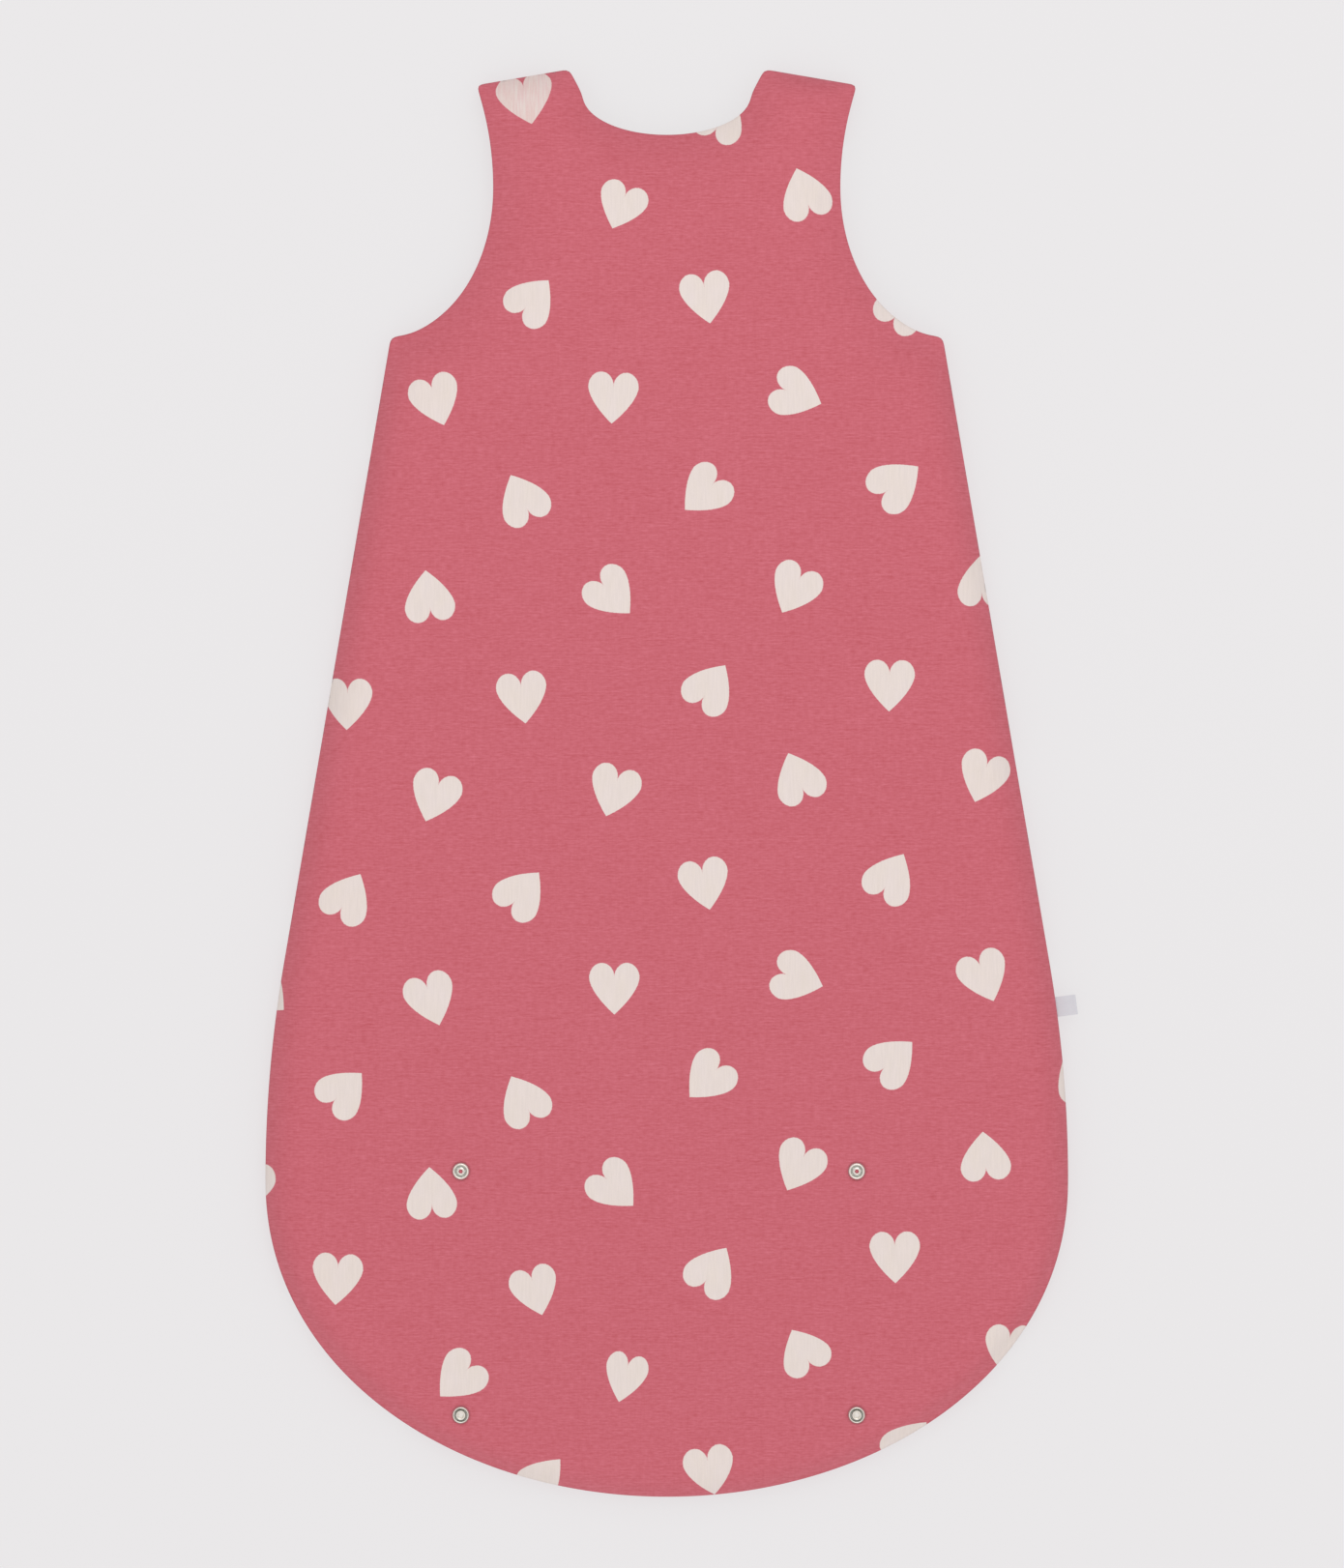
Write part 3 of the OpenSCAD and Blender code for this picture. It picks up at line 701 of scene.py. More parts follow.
    def front_inner(self, x: Array, y: Array) -> Array:
        """Height of the front's lining."""
        deep = mix(self.lip_top, self.front_inside, rise(self.to_zip(x, y) / self.zip_round))
        return mix(self.seam - self.mouth(x, y), deep, self.front_fall(x, y))

    def right_edge(self, depth: float) -> Array:
        """Trace the right half of the outline, from the foot's end to the neckline's middle.

        Args:
            depth: depth of the neckline.

        Returns:
            Points in order.
        """
        turn = np.radians(np.linspace(90, 0, 400))
        foot = np.stack([
            self.foot_half * np.cos(turn),
            self.y_widest - self.widest_rise * np.sin(turn) ** (2 / self.squareness)], 1)
        ys = np.linspace(self.y_widest, self.y_underarm, 800)[1:]
        side = np.stack([self.side_curve(ys), ys], 1)
        lift = np.radians(np.linspace(-80, math.degrees(math.asin(
            (self.y_top - self.shoulder_drop - self.y_arm) / self.arm_b_high)), 300))
        ay = self.y_arm + np.where(lift > 0, self.arm_b_high, self.arm_b_low) * np.sin(lift)
        arm = np.stack([self.arm_curve(ay), ay], 1)
        lip = np.array([[self.neck_half, self.y_top],
                        [self.waist_half, self.y_top - self.neck_lip]])
        bend = np.radians(np.linspace(90, 0, 300))[1:]
        neck = np.stack([self.waist_half * np.sin(bend), self.y_top - self.neck_lip
                         - (depth - self.neck_lip) * np.cos(bend)], 1)
        return np.concatenate([foot, side, arm, lip, neck])


def lengths(points: Array) -> Array:
    """Return how far along a line each of its points lies."""
    return np.concatenate([[0], np.cumsum(np.hypot(*np.diff(points, axis=0).T))])


def resampled(points: Array, spacing: float) -> Array:
    """Space points evenly along a line, its two ends kept.

    Args:
        points: points of the line.
        spacing: distance between two points.

    Returns:
        The new points.
    """
    length = lengths(points)
    count = max(2, int(math.ceil(length[-1] / spacing)) + 1)
    at = np.linspace(0, length[-1], count)
    return np.stack([np.interp(at, length, points[:, k]) for k in (0, 1)], 1)


def rounded(loop: Array, width: float) -> Array:
    """Round the corners of a closed line of evenly spaced points.

    Args:
        loop: the points, the first not repeated.
        width: length of the line that each corner is spread over.

    Returns:
        As many points, smoothed.
    """
    step = np.hypot(*(loop[1] - loop[0]))
    reach = max(1, int(width / step / 2))
    kernel = np.ones(2 * reach + 1) / (2 * reach + 1)
    for _ in range(2):
        wide = np.concatenate([loop[-reach:], loop, loop[:reach]])
        loop = np.stack([np.convolve(wide[:, k], kernel, "valid") for k in (0, 1)], 1)
    return loop


# The print

@dataclass(frozen=True)
class Heart:
    """One printed heart: its centre, the direction of its tip and its stretch."""

    x: float
    y: float
    tip: float
    widen: float = 1.0
    lengthen: float = 1.0


@dataclass(frozen=True)
class Print:
    """The hearts of the back and the front."""

    repeat_x: Span = (344.8, 15.8)
    repeat_y: Span = (0.0, -369.7)
    front_shift: Span = (38, 27)
    front_columns: range = range(-2, 3)
    front_rows: range = range(-2, 4)
    back: tuple[tuple[float, ...], ...] = (
        (-28, 364, -111, 0.97, 0.92), (87.2, 368.7, 108), (-85.5, 302.1, 50, 1, 0.96),
        (24.3, 306.6, -81), (-145.5, 242.1, -72), (-33.7, 243.9, -93), (79.9, 244.7, -21),
        (-89.9, 176.9, 116), (24.8, 184, -137), (142.9, 187, 38, 1.03, 1.04), (-149.2, 115.4, 97),
        (-35.7, 120, -47), (80.8, 123.3, -117), (198.3, 125.3, 91), (-200.7, 51.6, -91),
        (-90.8, 55.6, -83), (26.5, 58.8, 56), (139.8, 63.2, -91), (-145.3, -6.7, -109),
        (-32.7, -3.3, -107), (83.1, 1.8, 112), (199.1, 5.5, -108), (-201.1, -73.2, 61),
        (-92, -70.2, 50), (23.5, -61.6, -79), (139.8, -60.6, 61), (-148.5, -134.1, -72, 1, 1.03),
        (-32.9, -127, -90), (80.5, -121.9, -18), (198.6, -119.8, -69), (-204, -194.6, 45, 1, 0.96),
        (-89.3, -200.4, 117), (27.1, -184, -134), (140.6, -175, 43), (-147.8, -259.4, 94),
        (-34, -252.4, -45), (83.6, -239.2, -116), (199.9, -236.3, 95, 1, 0.95),
        (-206.7, -309.4, -94), (-83.1, -317, -74, 0.95, 0.96), (27.7, -307.3, 58),
        (143.2, -295.7, -89), (-129.3, -372.1, -135), (-25.8, -371.5, -104, 0.84, 0.96),
        (86.4, -358, 118, 1, 0.9), (-79.1, -438.2, 48, 0.85), (26.7, -430.5, -79),
        (151.7, -416.8, 49.5), (215.3, -354.9, -97), (-88.9, 432.4, -77.5, 1.13, 1.03),
        (33.8, 417.8, 65), (147.4, 298.7, 55), (-262.8, -252.3, -104), (-254.8, -130.8, -41),
        (259.7, -185.8, 115),
    )
    cell: tuple[Place, ...] = (
        (-145.3, 363, -109), (-28.1, 363, -111), (87.2, 368.7, 108), (-86, 301.8, 50),
        (24.3, 306.6, -81), (139.8, 309.1, 61), (-145.5, 240.6, -72), (-33.7, 243.9, -93),
        (79.9, 244.7, -21), (-89.9, 176.9, 116), (24.8, 184, -137), (142.9, 186.5, 38),
        (-149.2, 115.4, 97), (-35.7, 120, -47), (80.8, 123.3, -117), (-90.8, 55.6, -83),
        (26.5, 58.8, 56), (139.8, 63.2, -91),
    )

    def back_hearts(self) -> list[Heart]:
        """List the hearts of the back."""
        return [Heart(*row) for row in self.back]

    def front_hearts(self) -> list[Heart]:
        """List the hearts of the front, seen from outside: the same print, cut elsewhere.

        Returns:
            The hearts.
        """
        hearts = []
        for i in self.front_columns:
            for j in self.front_rows:
                for x, y, tip in self.cell:
                    x += i * self.repeat_x[0] + j * self.repeat_y[0] + self.front_shift[0]
                    y += i * self.repeat_x[1] + j * self.repeat_y[1] + self.front_shift[1]
                    hearts.append(Heart(-x, y, 180 - tip))
        return hearts

    @staticmethod
    def attribute(points: Array, hearts: Sequence[Heart], shift: float = 1.7) -> Array:
        """Give each point its place in the nearest heart.

        Args:
            points: flat points.
            hearts: the hearts.
            shift: distance from a heart's origin to its centre.

        Returns:
            Rows of the place across and along the heart, and the distance from it.
        """
        tips = np.radians([h.tip for h in hearts])
        along = np.stack([-np.cos(tips), -np.sin(tips)], 1)
        centre = np.array([[h.x, h.y] for h in hearts]) - along * shift
        apart = np.hypot(points[:, None, 0] - centre[None, :, 0],
                         points[:, None, 1] - centre[None, :, 1])
        near = apart.argmin(1)
        offset = points - centre[near]
        axis = along[near]
        stretch = np.array([[h.widen, h.lengthen] for h in hearts])[near]
        u = (offset[:, 0] * axis[:, 1] - offset[:, 1] * axis[:, 0]) / stretch[:, 0]
        v = (offset * axis).sum(1) / stretch[:, 1]
        return np.stack([u, v, apart.min(1)], 1)


# Mesh helpers

class Body(Enum):
    """Bodies of the frame that pieces ride on."""

    BAG = "bag"
    FOOT = "foot"
    LEFT_FLAP = "left_flap"
    RIGHT_FLAP = "right_flap"
    SLIDER = "slider"
    PULL = "pull"


SIDES = ((1, "right", Body.RIGHT_FLAP), (-1, "left", Body.LEFT_FLAP))


class Slot(Enum):
    """Material slots of the record."""

    JERSEY = "jersey_print"
    TAPE = "zip_tape"
    COIL = "zip_coil"
    ZIP_METAL = "zip_metal"
    SNAP_METAL = "snap_metal"
    SIDE_LABEL = "side_label"
    CARE_LABEL = "care_label"


def linked(name: str, data: bpy.types.ID) -> Piece:
    """Put a mesh, a lamp or a camera in the scene.

    Args:
        name: name of its object.
        data: the mesh, lamp or camera.

    Returns:
        The object.
    """
    obj = bpy.data.objects.new(name, data)
    bpy.context.scene.collection.objects.link(obj)
    return obj


def make_object(name: str, verts: Array, faces: Sequence[Sequence[int]],
                materials: Sequence[Material], indices: Sequence[int] | None = None,
                sharp: float | None = None) -> Piece:
    """Make a mesh object.

    Args:
        name: name of the piece.
        verts: points in millimetres.
        faces: corners of each face.
        materials: materials in slot order.
        indices: material of each face.
        sharp: angle in degrees above which an edge stays sharp, or None for all smooth.

    Returns:
        The object, linked to the scene.
    """
    mesh = bpy.data.meshes.new(name)
    mesh.from_pydata((np.asarray(verts, float) * MM).tolist(), [],
                     [list(map(int, f)) for f in faces])
    for material in materials:
        mesh.materials.append(material)
    if indices is not None:
        mesh.polygons.foreach_set("material_index", np.asarray(indices, np.int32))
    mesh.polygons.foreach_set("use_smooth", np.ones(len(mesh.polygons), bool))
    if sharp is not None:
        shaped = bmesh.new()
        shaped.from_mesh(mesh)
        bmesh.ops.recalc_face_normals(shaped, faces=shaped.faces)
        for edge in shaped.edges:
            if len(edge.link_faces) == 2:
                edge.smooth = edge.calc_face_angle() < math.radians(sharp)
        shaped.to_mesh(mesh)
        shaped.free()
    mesh.update()
    log.info("%s: %d faces", name, len(mesh.polygons))
    return linked(name, mesh)


def place_piece(obj: Piece, body: Body, slot: Slot, *nodes: str) -> Piece:
    """Attach a piece to the body that it rides on, and hide the nodes that it stands for.

    Args:
        obj: the piece.
        body: body that it rides on.
        slot: not used.
        nodes: nodes that it stands for.

    Returns:
        The piece.
    """
    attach(obj, body.value)
    if nodes:
        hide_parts(*nodes)
    return obj


class Assembly:
    """Points and faces of several solids that make one piece."""

    def __init__(self, *solids: Solid) -> None:
        """Start with some solids, or with none."""
        self.verts: list[Array] = []
        self.faces: list[Face] = []
        self.count = 0
        for solid in solids:
            self.add(*solid)

    def add(self, verts: Array, faces: Sequence[Face]) -> None:
        """Add one solid.

        Args:
            verts: its points.
            faces: its faces.
        """
        self.verts.append(verts)
        self.faces += [tuple(i + self.count for i in f) for f in faces]
        self.count += len(verts)

    def solid(self) -> Solid:
        """Return all the points and faces."""
        return np.concatenate(self.verts), self.faces

    def piece(self, name: str, material: Material, body: Body, slot: Slot,
              nodes: Sequence[str] = (), sharp: float = 45) -> None:
        """Finish the piece.

        Args:
            name: name of the piece.
            material: its material.
            body: body that it rides on.
            slot: slot of the record, passed on to place_piece, which does not use it.
            nodes: nodes that it stands for.
            sharp: angle above which edges stay sharp.
        """
        obj = make_object(name, *self.solid(), [material], sharp=sharp)
        place_piece(obj, body, slot, *nodes)


# Panels

@dataclass
class Field:
    """Flat points of a panel, with their distance from its edge."""

    points: Array
    faces: Array
    edge_count: int
    distance: Array
    inward: Array
    nearest: Array
    length: Array


@dataclass(frozen=True)
class Mesher:
    """Fills a closed outline with rings along its edge and an even net inside."""

    spacing: float = 5.0
    rings: tuple[float, ...] = (1.4, 3.2, 5.6, 9.0, 13.5, 19.0, 26.0)
    ring_share: float = 0.97
    net_share: float = 0.55
    fold: Span | None = None
    fold_spacing: float = 3.4
    crease: tuple[Span, Span] | None = None
    crease_aside: tuple[float, ...] = (-6.0, -4.0, -2.0, 0.0, 2.0, 4.0, 6.0)
    crease_spacing: float = 4.5
    crease_beyond: float = 20.0
    crease_least: float = 2.0
    crease_clear: float = 8.0
    crease_clear_near: float = 7.2
    crease_near: float = 20.0
    spots: Sequence[Span] = ()
    spot_rings: tuple[float, ...] = (0.0, 1.6, 3.2, 4.5, 5.0, 5.5, 6.0, 6.6, 7.4, 8.5, 10.0, 12.2)
    spot_reach: float = 14.6
    least: float = 1.3
    batch: int = 4000

    def spot_points(self) -> Array:
        """Set points on rings round the snaps.

        Returns:
            The points.
        """
        points = []
        for x, y in self.spots:
            for k, r in enumerate(self.spot_rings):
                count = max(1, int(2 * math.pi * r / max(1.5, 0.24 * r)))
                turn = np.arange(count) * 2 * math.pi / count + k
                points.append(np.stack([x + r * np.cos(turn), y + r * np.sin(turn)], 1))
        return np.concatenate(points)

    @staticmethod
    def net(low: Array, high: Array, spacing: float) -> Array:
        """Fill a box with points in equal triangles.

        Args:
            low: lower corner.
            high: upper corner.
            spacing: distance between two points.

        Returns:
            The points.
        """
        tall = spacing * math.sqrt(0.75)
        ys = np.arange(math.floor(low[1] / tall), high[1] / tall + 2) * tall
        xs = np.arange(math.floor(low[0] / spacing) - 1, high[0] / spacing + 2) * spacing
        grid = np.stack(np.meshgrid(xs, ys), -1)
        grid[1::2, :, 0] += spacing / 2
        return grid.reshape(-1, 2)

    def off_crease(self, points: Array) -> Array:
        """Measure how far points lie from the crease's line.

        Args:
            points: flat points.

        Returns:
            The distances, without end where there is no crease.
        """
        if self.crease is None:
            return np.full(len(points), np.inf)
        (x0, y0), (x1, y1) = self.crease
        run = math.hypot(x1 - x0, y1 - y0)
        return np.abs((points[:, 0] - x0) * (y1 - y0) - (points[:, 1] - y0) * (x1 - x0)) / run

    def crease_points(self) -> Array:
        """Set points on lines beside the crease.

        Returns:
            The points.
        """
        if self.crease is None:
            return np.zeros((0, 2))
        low, high = (np.array(p, float) for p in self.crease)
        run = np.hypot(*(high - low))
        ahead = (high - low) / run
        aside = np.array([-ahead[1], ahead[0]])
        lines = []
        for k, offset in enumerate(self.crease_aside):
            at = np.arange(self.crease_spacing / 2 * (k % 2) - self.crease_beyond,
                           run + self.crease_beyond, self.crease_spacing)
            lines.append(low + at[:, None] * ahead + offset * aside)
        return np.concatenate(lines)

    def measure(self, points: Array, edge: Array) -> tuple[Array, Array, Array]:
        """Measure points against a closed outline.

        Args:
            points: the points.
            edge: the outline's points in order.

        Returns:
            Distances, the nearest places on the outline, and the nearest outline points' numbers.
        """
        count = len(edge)
        distance = np.empty(len(points))
        place = np.empty((len(points), 2))
        nearest = np.empty(len(points), int)
        for start in range(0, len(points), self.batch):
            now = slice(start, start + self.batch)
            part = points[now]
            apart = ((part[:, None, :] - edge[None, :, :]) ** 2).sum(2)
            near = apart.argmin(1)
            best = np.full(len(part), np.inf)
            spot = np.empty((len(part), 2))
            for step in (-1, 0):
                a, b = edge[(near + step) % count], edge[(near + step + 1) % count]
                along = b - a
                share = np.clip(((part - a) * along).sum(1) / (along ** 2).sum(1), 0, 1)
                foot = a + along * share[:, None]
                far = np.hypot(*(part - foot).T)
                closer = far < best
                best[closer], spot[closer] = far[closer], foot[closer]
            distance[now], place[now], nearest[now] = best, spot, near
        return distance, place, nearest

    def inside(self, points: Array, edge: Array) -> Array:
        """Tell which points lie inside a closed outline.

        Args:
            points: the points.
            edge: the outline's points in order.

        Returns:
            Whether each point lies inside.
        """
        result = np.zeros(len(points), bool)
        a, b = edge, np.roll(edge, -1, 0)
        climb = np.where(b[:, 1] == a[:, 1], 1e-9, b[:, 1] - a[:, 1])
        for start in range(0, len(points), self.batch):
            now = slice(start, start + self.batch)
            x, y = points[now, None, 0], points[now, None, 1]
            spans = (a[None, :, 1] > y) != (b[None, :, 1] > y)
            cross = a[None, :, 0] + (y - a[None, :, 1]) * (b - a)[None, :, 0] / climb
            result[now] = (spans & (x < cross)).sum(1) % 2 == 1
        return result

    def inner_points(self, edge: Array, normal: Array) -> Array:
        """Spread points inside an outline: rings, the net, the crease and the snaps.

        Args:
            edge: the outline's points.
            normal: direction inwards at each.

        Returns:
            The points.
        """
        parts = []
        for k, offset in enumerate(self.rings):
            step = 1 if k < 2 else 2
            parts.append(((edge + normal * offset)[k % 2::step], offset * self.ring_share))
        low, high = edge.min(0), edge.max(0)
        net = self.net(low, high, self.spacing)
        net = net[self.off_crease(net) > self.crease_clear]
        if self.fold is not None:
            middle, reach = self.fold
            fine = self.net(low, high, self.fold_spacing)
            net = np.concatenate([net[np.abs(net[:, 1] - middle) >= reach],
                                  fine[np.abs(fine[:, 1] - middle) < reach - 1]])
        parts.append((net, self.rings[-1] + self.spacing * self.net_share))
        parts.append((self.crease_points(), self.crease_least))
        chosen = []
        for points, least in parts:
            points = points[self.inside(points, edge)]
            points = points[self.measure(points, edge)[0] >= least]
            if least > self.crease_least:
                near = least < self.crease_near
                clear = self.crease_clear_near if near else self.crease_clear
                points = points[self.off_crease(points) > clear]
            chosen.append(points)
        inner = np.concatenate(chosen)
        for x, y in self.spots:
            inner = inner[from_spot(inner, x, y) > self.spot_reach]
        inner = self.thinned(inner, self.least)
        return np.concatenate([inner, self.spot_points()]) if self.spots else inner

    def triangles(self, points: Array, edge: Array) -> Array:
        """Join points to triangles, and keep those inside the outline.

        Args:
            points: the outline's points, then the others.
            edge: the outline's points.

        Returns:
            The corners of each triangle, counterclockwise.
        """
        count = len(edge)
        loop = [(i, (i + 1) % count) for i in range(count)]
        _, _, faces, origins, *_ = delaunay_2d_cdt([Vector(p) for p in points], loop, [], 1,
                                                   1e-7, True)
        order = np.array([o[0] if o else -1 for o in origins])
        if (order < 0).any():
            raise ValueError("the outline crosses itself")
        faces = order[np.array([list(f) for f in faces])]
        doubtful = np.flatnonzero((faces < count).all(1))
        outside = ~self.inside(points[faces[doubtful]].mean(1), edge)
        faces = np.delete(faces, doubtful[outside], 0)
        p = points[faces]
        area = ((p[:, 1, 0] - p[:, 0, 0]) * (p[:, 2, 1] - p[:, 0, 1])
                - (p[:, 2, 0] - p[:, 0, 0]) * (p[:, 1, 1] - p[:, 0, 1]))
        faces[area < 0] = faces[area < 0][:, ::-1]
        return faces

    def field(self, edge: Array) -> Field:
        """Fill an outline.

        Args:
            edge: the outline's points, counterclockwise.

        Returns:
            The filled field.
        """
        tangent = np.roll(edge, -1, 0) - np.roll(edge, 1, 0)
        tangent /= np.hypot(*tangent.T)[:, None]
        normal = np.stack([-tangent[:, 1], tangent[:, 0]], 1)
        steps = np.hypot(*(np.roll(edge, -1, 0) - edge).T)
        length = np.concatenate([[0], np.cumsum(steps)[:-1]])
        points = np.concatenate([edge, self.inner_points(edge, normal)])
        faces = self.triangles(points, edge)
        distance, place, nearest = self.measure(points, edge)
        inward = points - place
        inward /= np.maximum(np.hypot(*inward.T), 1e-6)[:, None]
        count = len(edge)
        distance[:count] = 0
        inward[:count] = normal
        nearest[:count] = np.arange(count)
        return Field(points, faces, count, distance, inward, nearest, length[nearest])

    @staticmethod
    def thinned(points: Array, least: float) -> Array:
        """Drop points that lie too close to an earlier one.

        Args:
            points: the points.
            least: least distance between two points.

        Returns:
            The points kept, in order.
        """
        kept: dict[tuple[int, int], list[Span]] = {}
        result = []
        for x, y in points.tolist():
            cell = (int(math.floor(x / least)), int(math.floor(y / least)))
            if any((x - a) ** 2 + (y - b) ** 2 < least ** 2
                   for i in (-1, 0, 1) for j in (-1, 0, 1)
                   for a, b in kept.get((cell[0] + i, cell[1] + j), ())):
                continue
            kept.setdefault(cell, []).append((x, y))
            result.append((x, y))
        return np.array(result)


@dataclass(frozen=True)
class Softness:
    """How far the fabric leaves its plain shape."""

    loft: float = 1.1
    press: float = 0.8
    wave: float = 0.45
    pucker: float = 0.28
    pucker_length: float = 15.0
    pucker_fade: Span = (9.0, 1.5)
    seed: int = 7
    wave_count: int = 14
    wave_lengths: Span = (55, 170)
    edge_reach: float = 16.0
    hollow: Span = (5.8, 8.5)
    groove: Span = (5.6, 0.6)
    calm: Span = (5.4, 12.0)
    lying_share: float = 0.6

    def waves(self, points: Array, seed: int) -> Array:
        """Return soft waves in all directions.

        Args:
            points: flat points.
            seed: number of the pattern.

        Returns:
            Heights of about -1 to 1.
        """
        chance = np.random.default_rng(seed)
        total = np.zeros(len(points))
        for _ in range(self.wave_count):
            length = chance.uniform(*self.wave_lengths)
            turn = chance.uniform(0, math.pi)
            phase = chance.uniform(0, 2 * math.pi)
            flat = points[:, 0] * math.cos(turn) + points[:, 1] * math.sin(turn)
            total += np.sin(2 * math.pi * flat / length + phase) * length / self.wave_lengths[1]
        return total / 4

    def puckers(self, net: Field, seed: int) -> Array:
        """Return the small folds that run square to a seam.

        Args:
            net: the panel's field.
            seed: number of the pattern.

        Returns:
            Heights of about -1 to 1, none far from the edge.
        """
        chance = np.random.default_rng(seed)
        total = np.zeros(len(net.points))
        for _ in range(4):
            length = self.pucker_length * chance.uniform(0.7, 1.9)
            slow = np.sin(2 * math.pi * net.length / (length * chance.uniform(5, 9))
                          + chance.uniform(0, 6.28))
            total += np.sin(2 * math.pi * net.length / length + chance.uniform(0, 6.28)
                            + 1.5 * slow)
        far, near = self.pucker_fade
        fade = np.exp(-net.distance / far) * (1 - np.exp(-net.distance / near))
        return total / 2.4 * fade


@dataclass(frozen=True)
class Drape:
    """Cloth simulation of the outer jersey, sewn at its edges and held by the wadding below."""

    cut: Cut
    spacing: float = 10.0
    rings: tuple[float, ...] = (4.0, 9.0)
    edge_spacing: float = 6.0
    growth: float = 0.002
    hold: float = 0.1
    hold_stiffness: float = 0.5
    bending: float = 20.0
    sewn: float = 5.0
    quality: int = 5
    mass: float = 0.02
    stretching: float = 12.0
    shearing: float = 4.0
    pressure: float = 0.1
    frames: int = 20
    share: float = 0.32
    cap: float = 1.2
    start: float = 0.25
    seed: int = 23
    kernel: float = 9.0
    neighbours: int = 12

    def sheet(self, net: Field, snaps: Sequence[Span]) -> Piece:
        """Lay the jersey on its plain shape, with a few slight waves to start from.

        Args:
            net: the coarse field of the cloth.
            snaps: places of the snaps, which hold the cloth.

        Returns:
            The cloth's object, with the points that hold it in a vertex group.
        """
        x, y = net.points.T
        height = self.cut.back_outer(np.abs(x), y)
        free = net.distance > self.sewn
        height = height + Softness().waves(net.points, self.seed) * self.start * free
        obj = make_object("draped_jersey", np.column_stack([net.points, height]),
                          [tuple(f) for f in net.faces.tolist()], [])
        held = np.where(net.distance < self.sewn, 1.0, self.hold)
        for snap in snaps:
            held = np.where(from_spot(net.points, *snap) < 2 * self.sewn, 1.0, held)
        group = obj.vertex_groups.new(name="held")
        for weight in np.unique(held):
            group.add(np.flatnonzero(held == weight).tolist(), float(weight), "REPLACE")
        return obj

    def lifts(self, edge: Array, snaps: Sequence[Span]) -> tuple[Array, Array]:
        """Let the cloth settle.

        Args:
            edge: the panel's outline.
            snaps: places of the snaps.

        Returns:
            Flat points, and how far the cloth stands off its plain shape at each.
        """
        loop = resampled(np.concatenate([edge, edge[:1]]), self.edge_spacing)[:-1]
        net = Mesher(spacing=self.spacing, rings=self.rings).field(loop)
        obj = self.sheet(net, snaps)
        modifier = obj.modifiers.new("cloth", "CLOTH")
        cloth = modifier.settings
        cloth.quality = self.quality
        cloth.mass = self.mass
        cloth.tension_stiffness = cloth.compression_stiffness = self.stretching
        cloth.shear_stiffness = self.shearing
        cloth.bending_stiffness = self.bending
        cloth.vertex_group_mass = "held"
        cloth.pin_stiffness = self.hold_stiffness
        cloth.shrink_min = cloth.shrink_max = -self.growth
        cloth.use_pressure = True
        cloth.uniform_pressure_force = self.pressure
        cloth.effector_weights.gravity = 0
        modifier.collision_settings.use_collision = False
        modifier.point_cache.frame_start, modifier.point_cache.frame_end = 1, self.frames
        scene = bpy.context.scene
        for frame_number in range(1, self.frames + 1):
            scene.frame_set(frame_number)
        settled = obj.evaluated_get(bpy.context.evaluated_depsgraph_get()).to_mesh()
        places = np.empty(len(settled.vertices) * 3, np.float32)
        settled.vertices.foreach_get("co", places)
        heights = places.reshape(-1, 3)[:, 2].astype(float) / MM
        mesh = obj.data
        bpy.data.objects.remove(obj)
        bpy.data.meshes.remove(mesh)
        scene.frame_set(1)
        x, y = net.points.T
        lift = heights - self.cut.back_outer(np.abs(x), y)
        log.info("jersey settled on %d points, lift %.2f to %.2f mm", len(lift), lift.min(),
                 lift.max())
        return net.points, self.cap * np.tanh(lift * self.share / self.cap)

    def spread(self, known: tuple[Array, Array], points: Array) -> Array:
        """Carry the lift over to other points.

        Args:
            known: flat points and their lift.
            points: the other flat points.

        Returns:
            Their lift.
        """
        places, lift = known
        tree = KDTree(len(places))
        for k, (x, y) in enumerate(places.tolist()):
            tree.insert((x, y, 0), k)
        tree.balance()
        result = np.empty(len(points))
        for k, (x, y) in enumerate(points.tolist()):
            near = tree.find_n((x, y, 0), self.neighbours)
            weight = np.array([math.exp(-(apart / self.kernel) ** 2) for _, _, apart in near])
            result[k] = (weight * lift[[n for _, n, _ in near]]).sum() / max(weight.sum(), 1e-9)
        return result


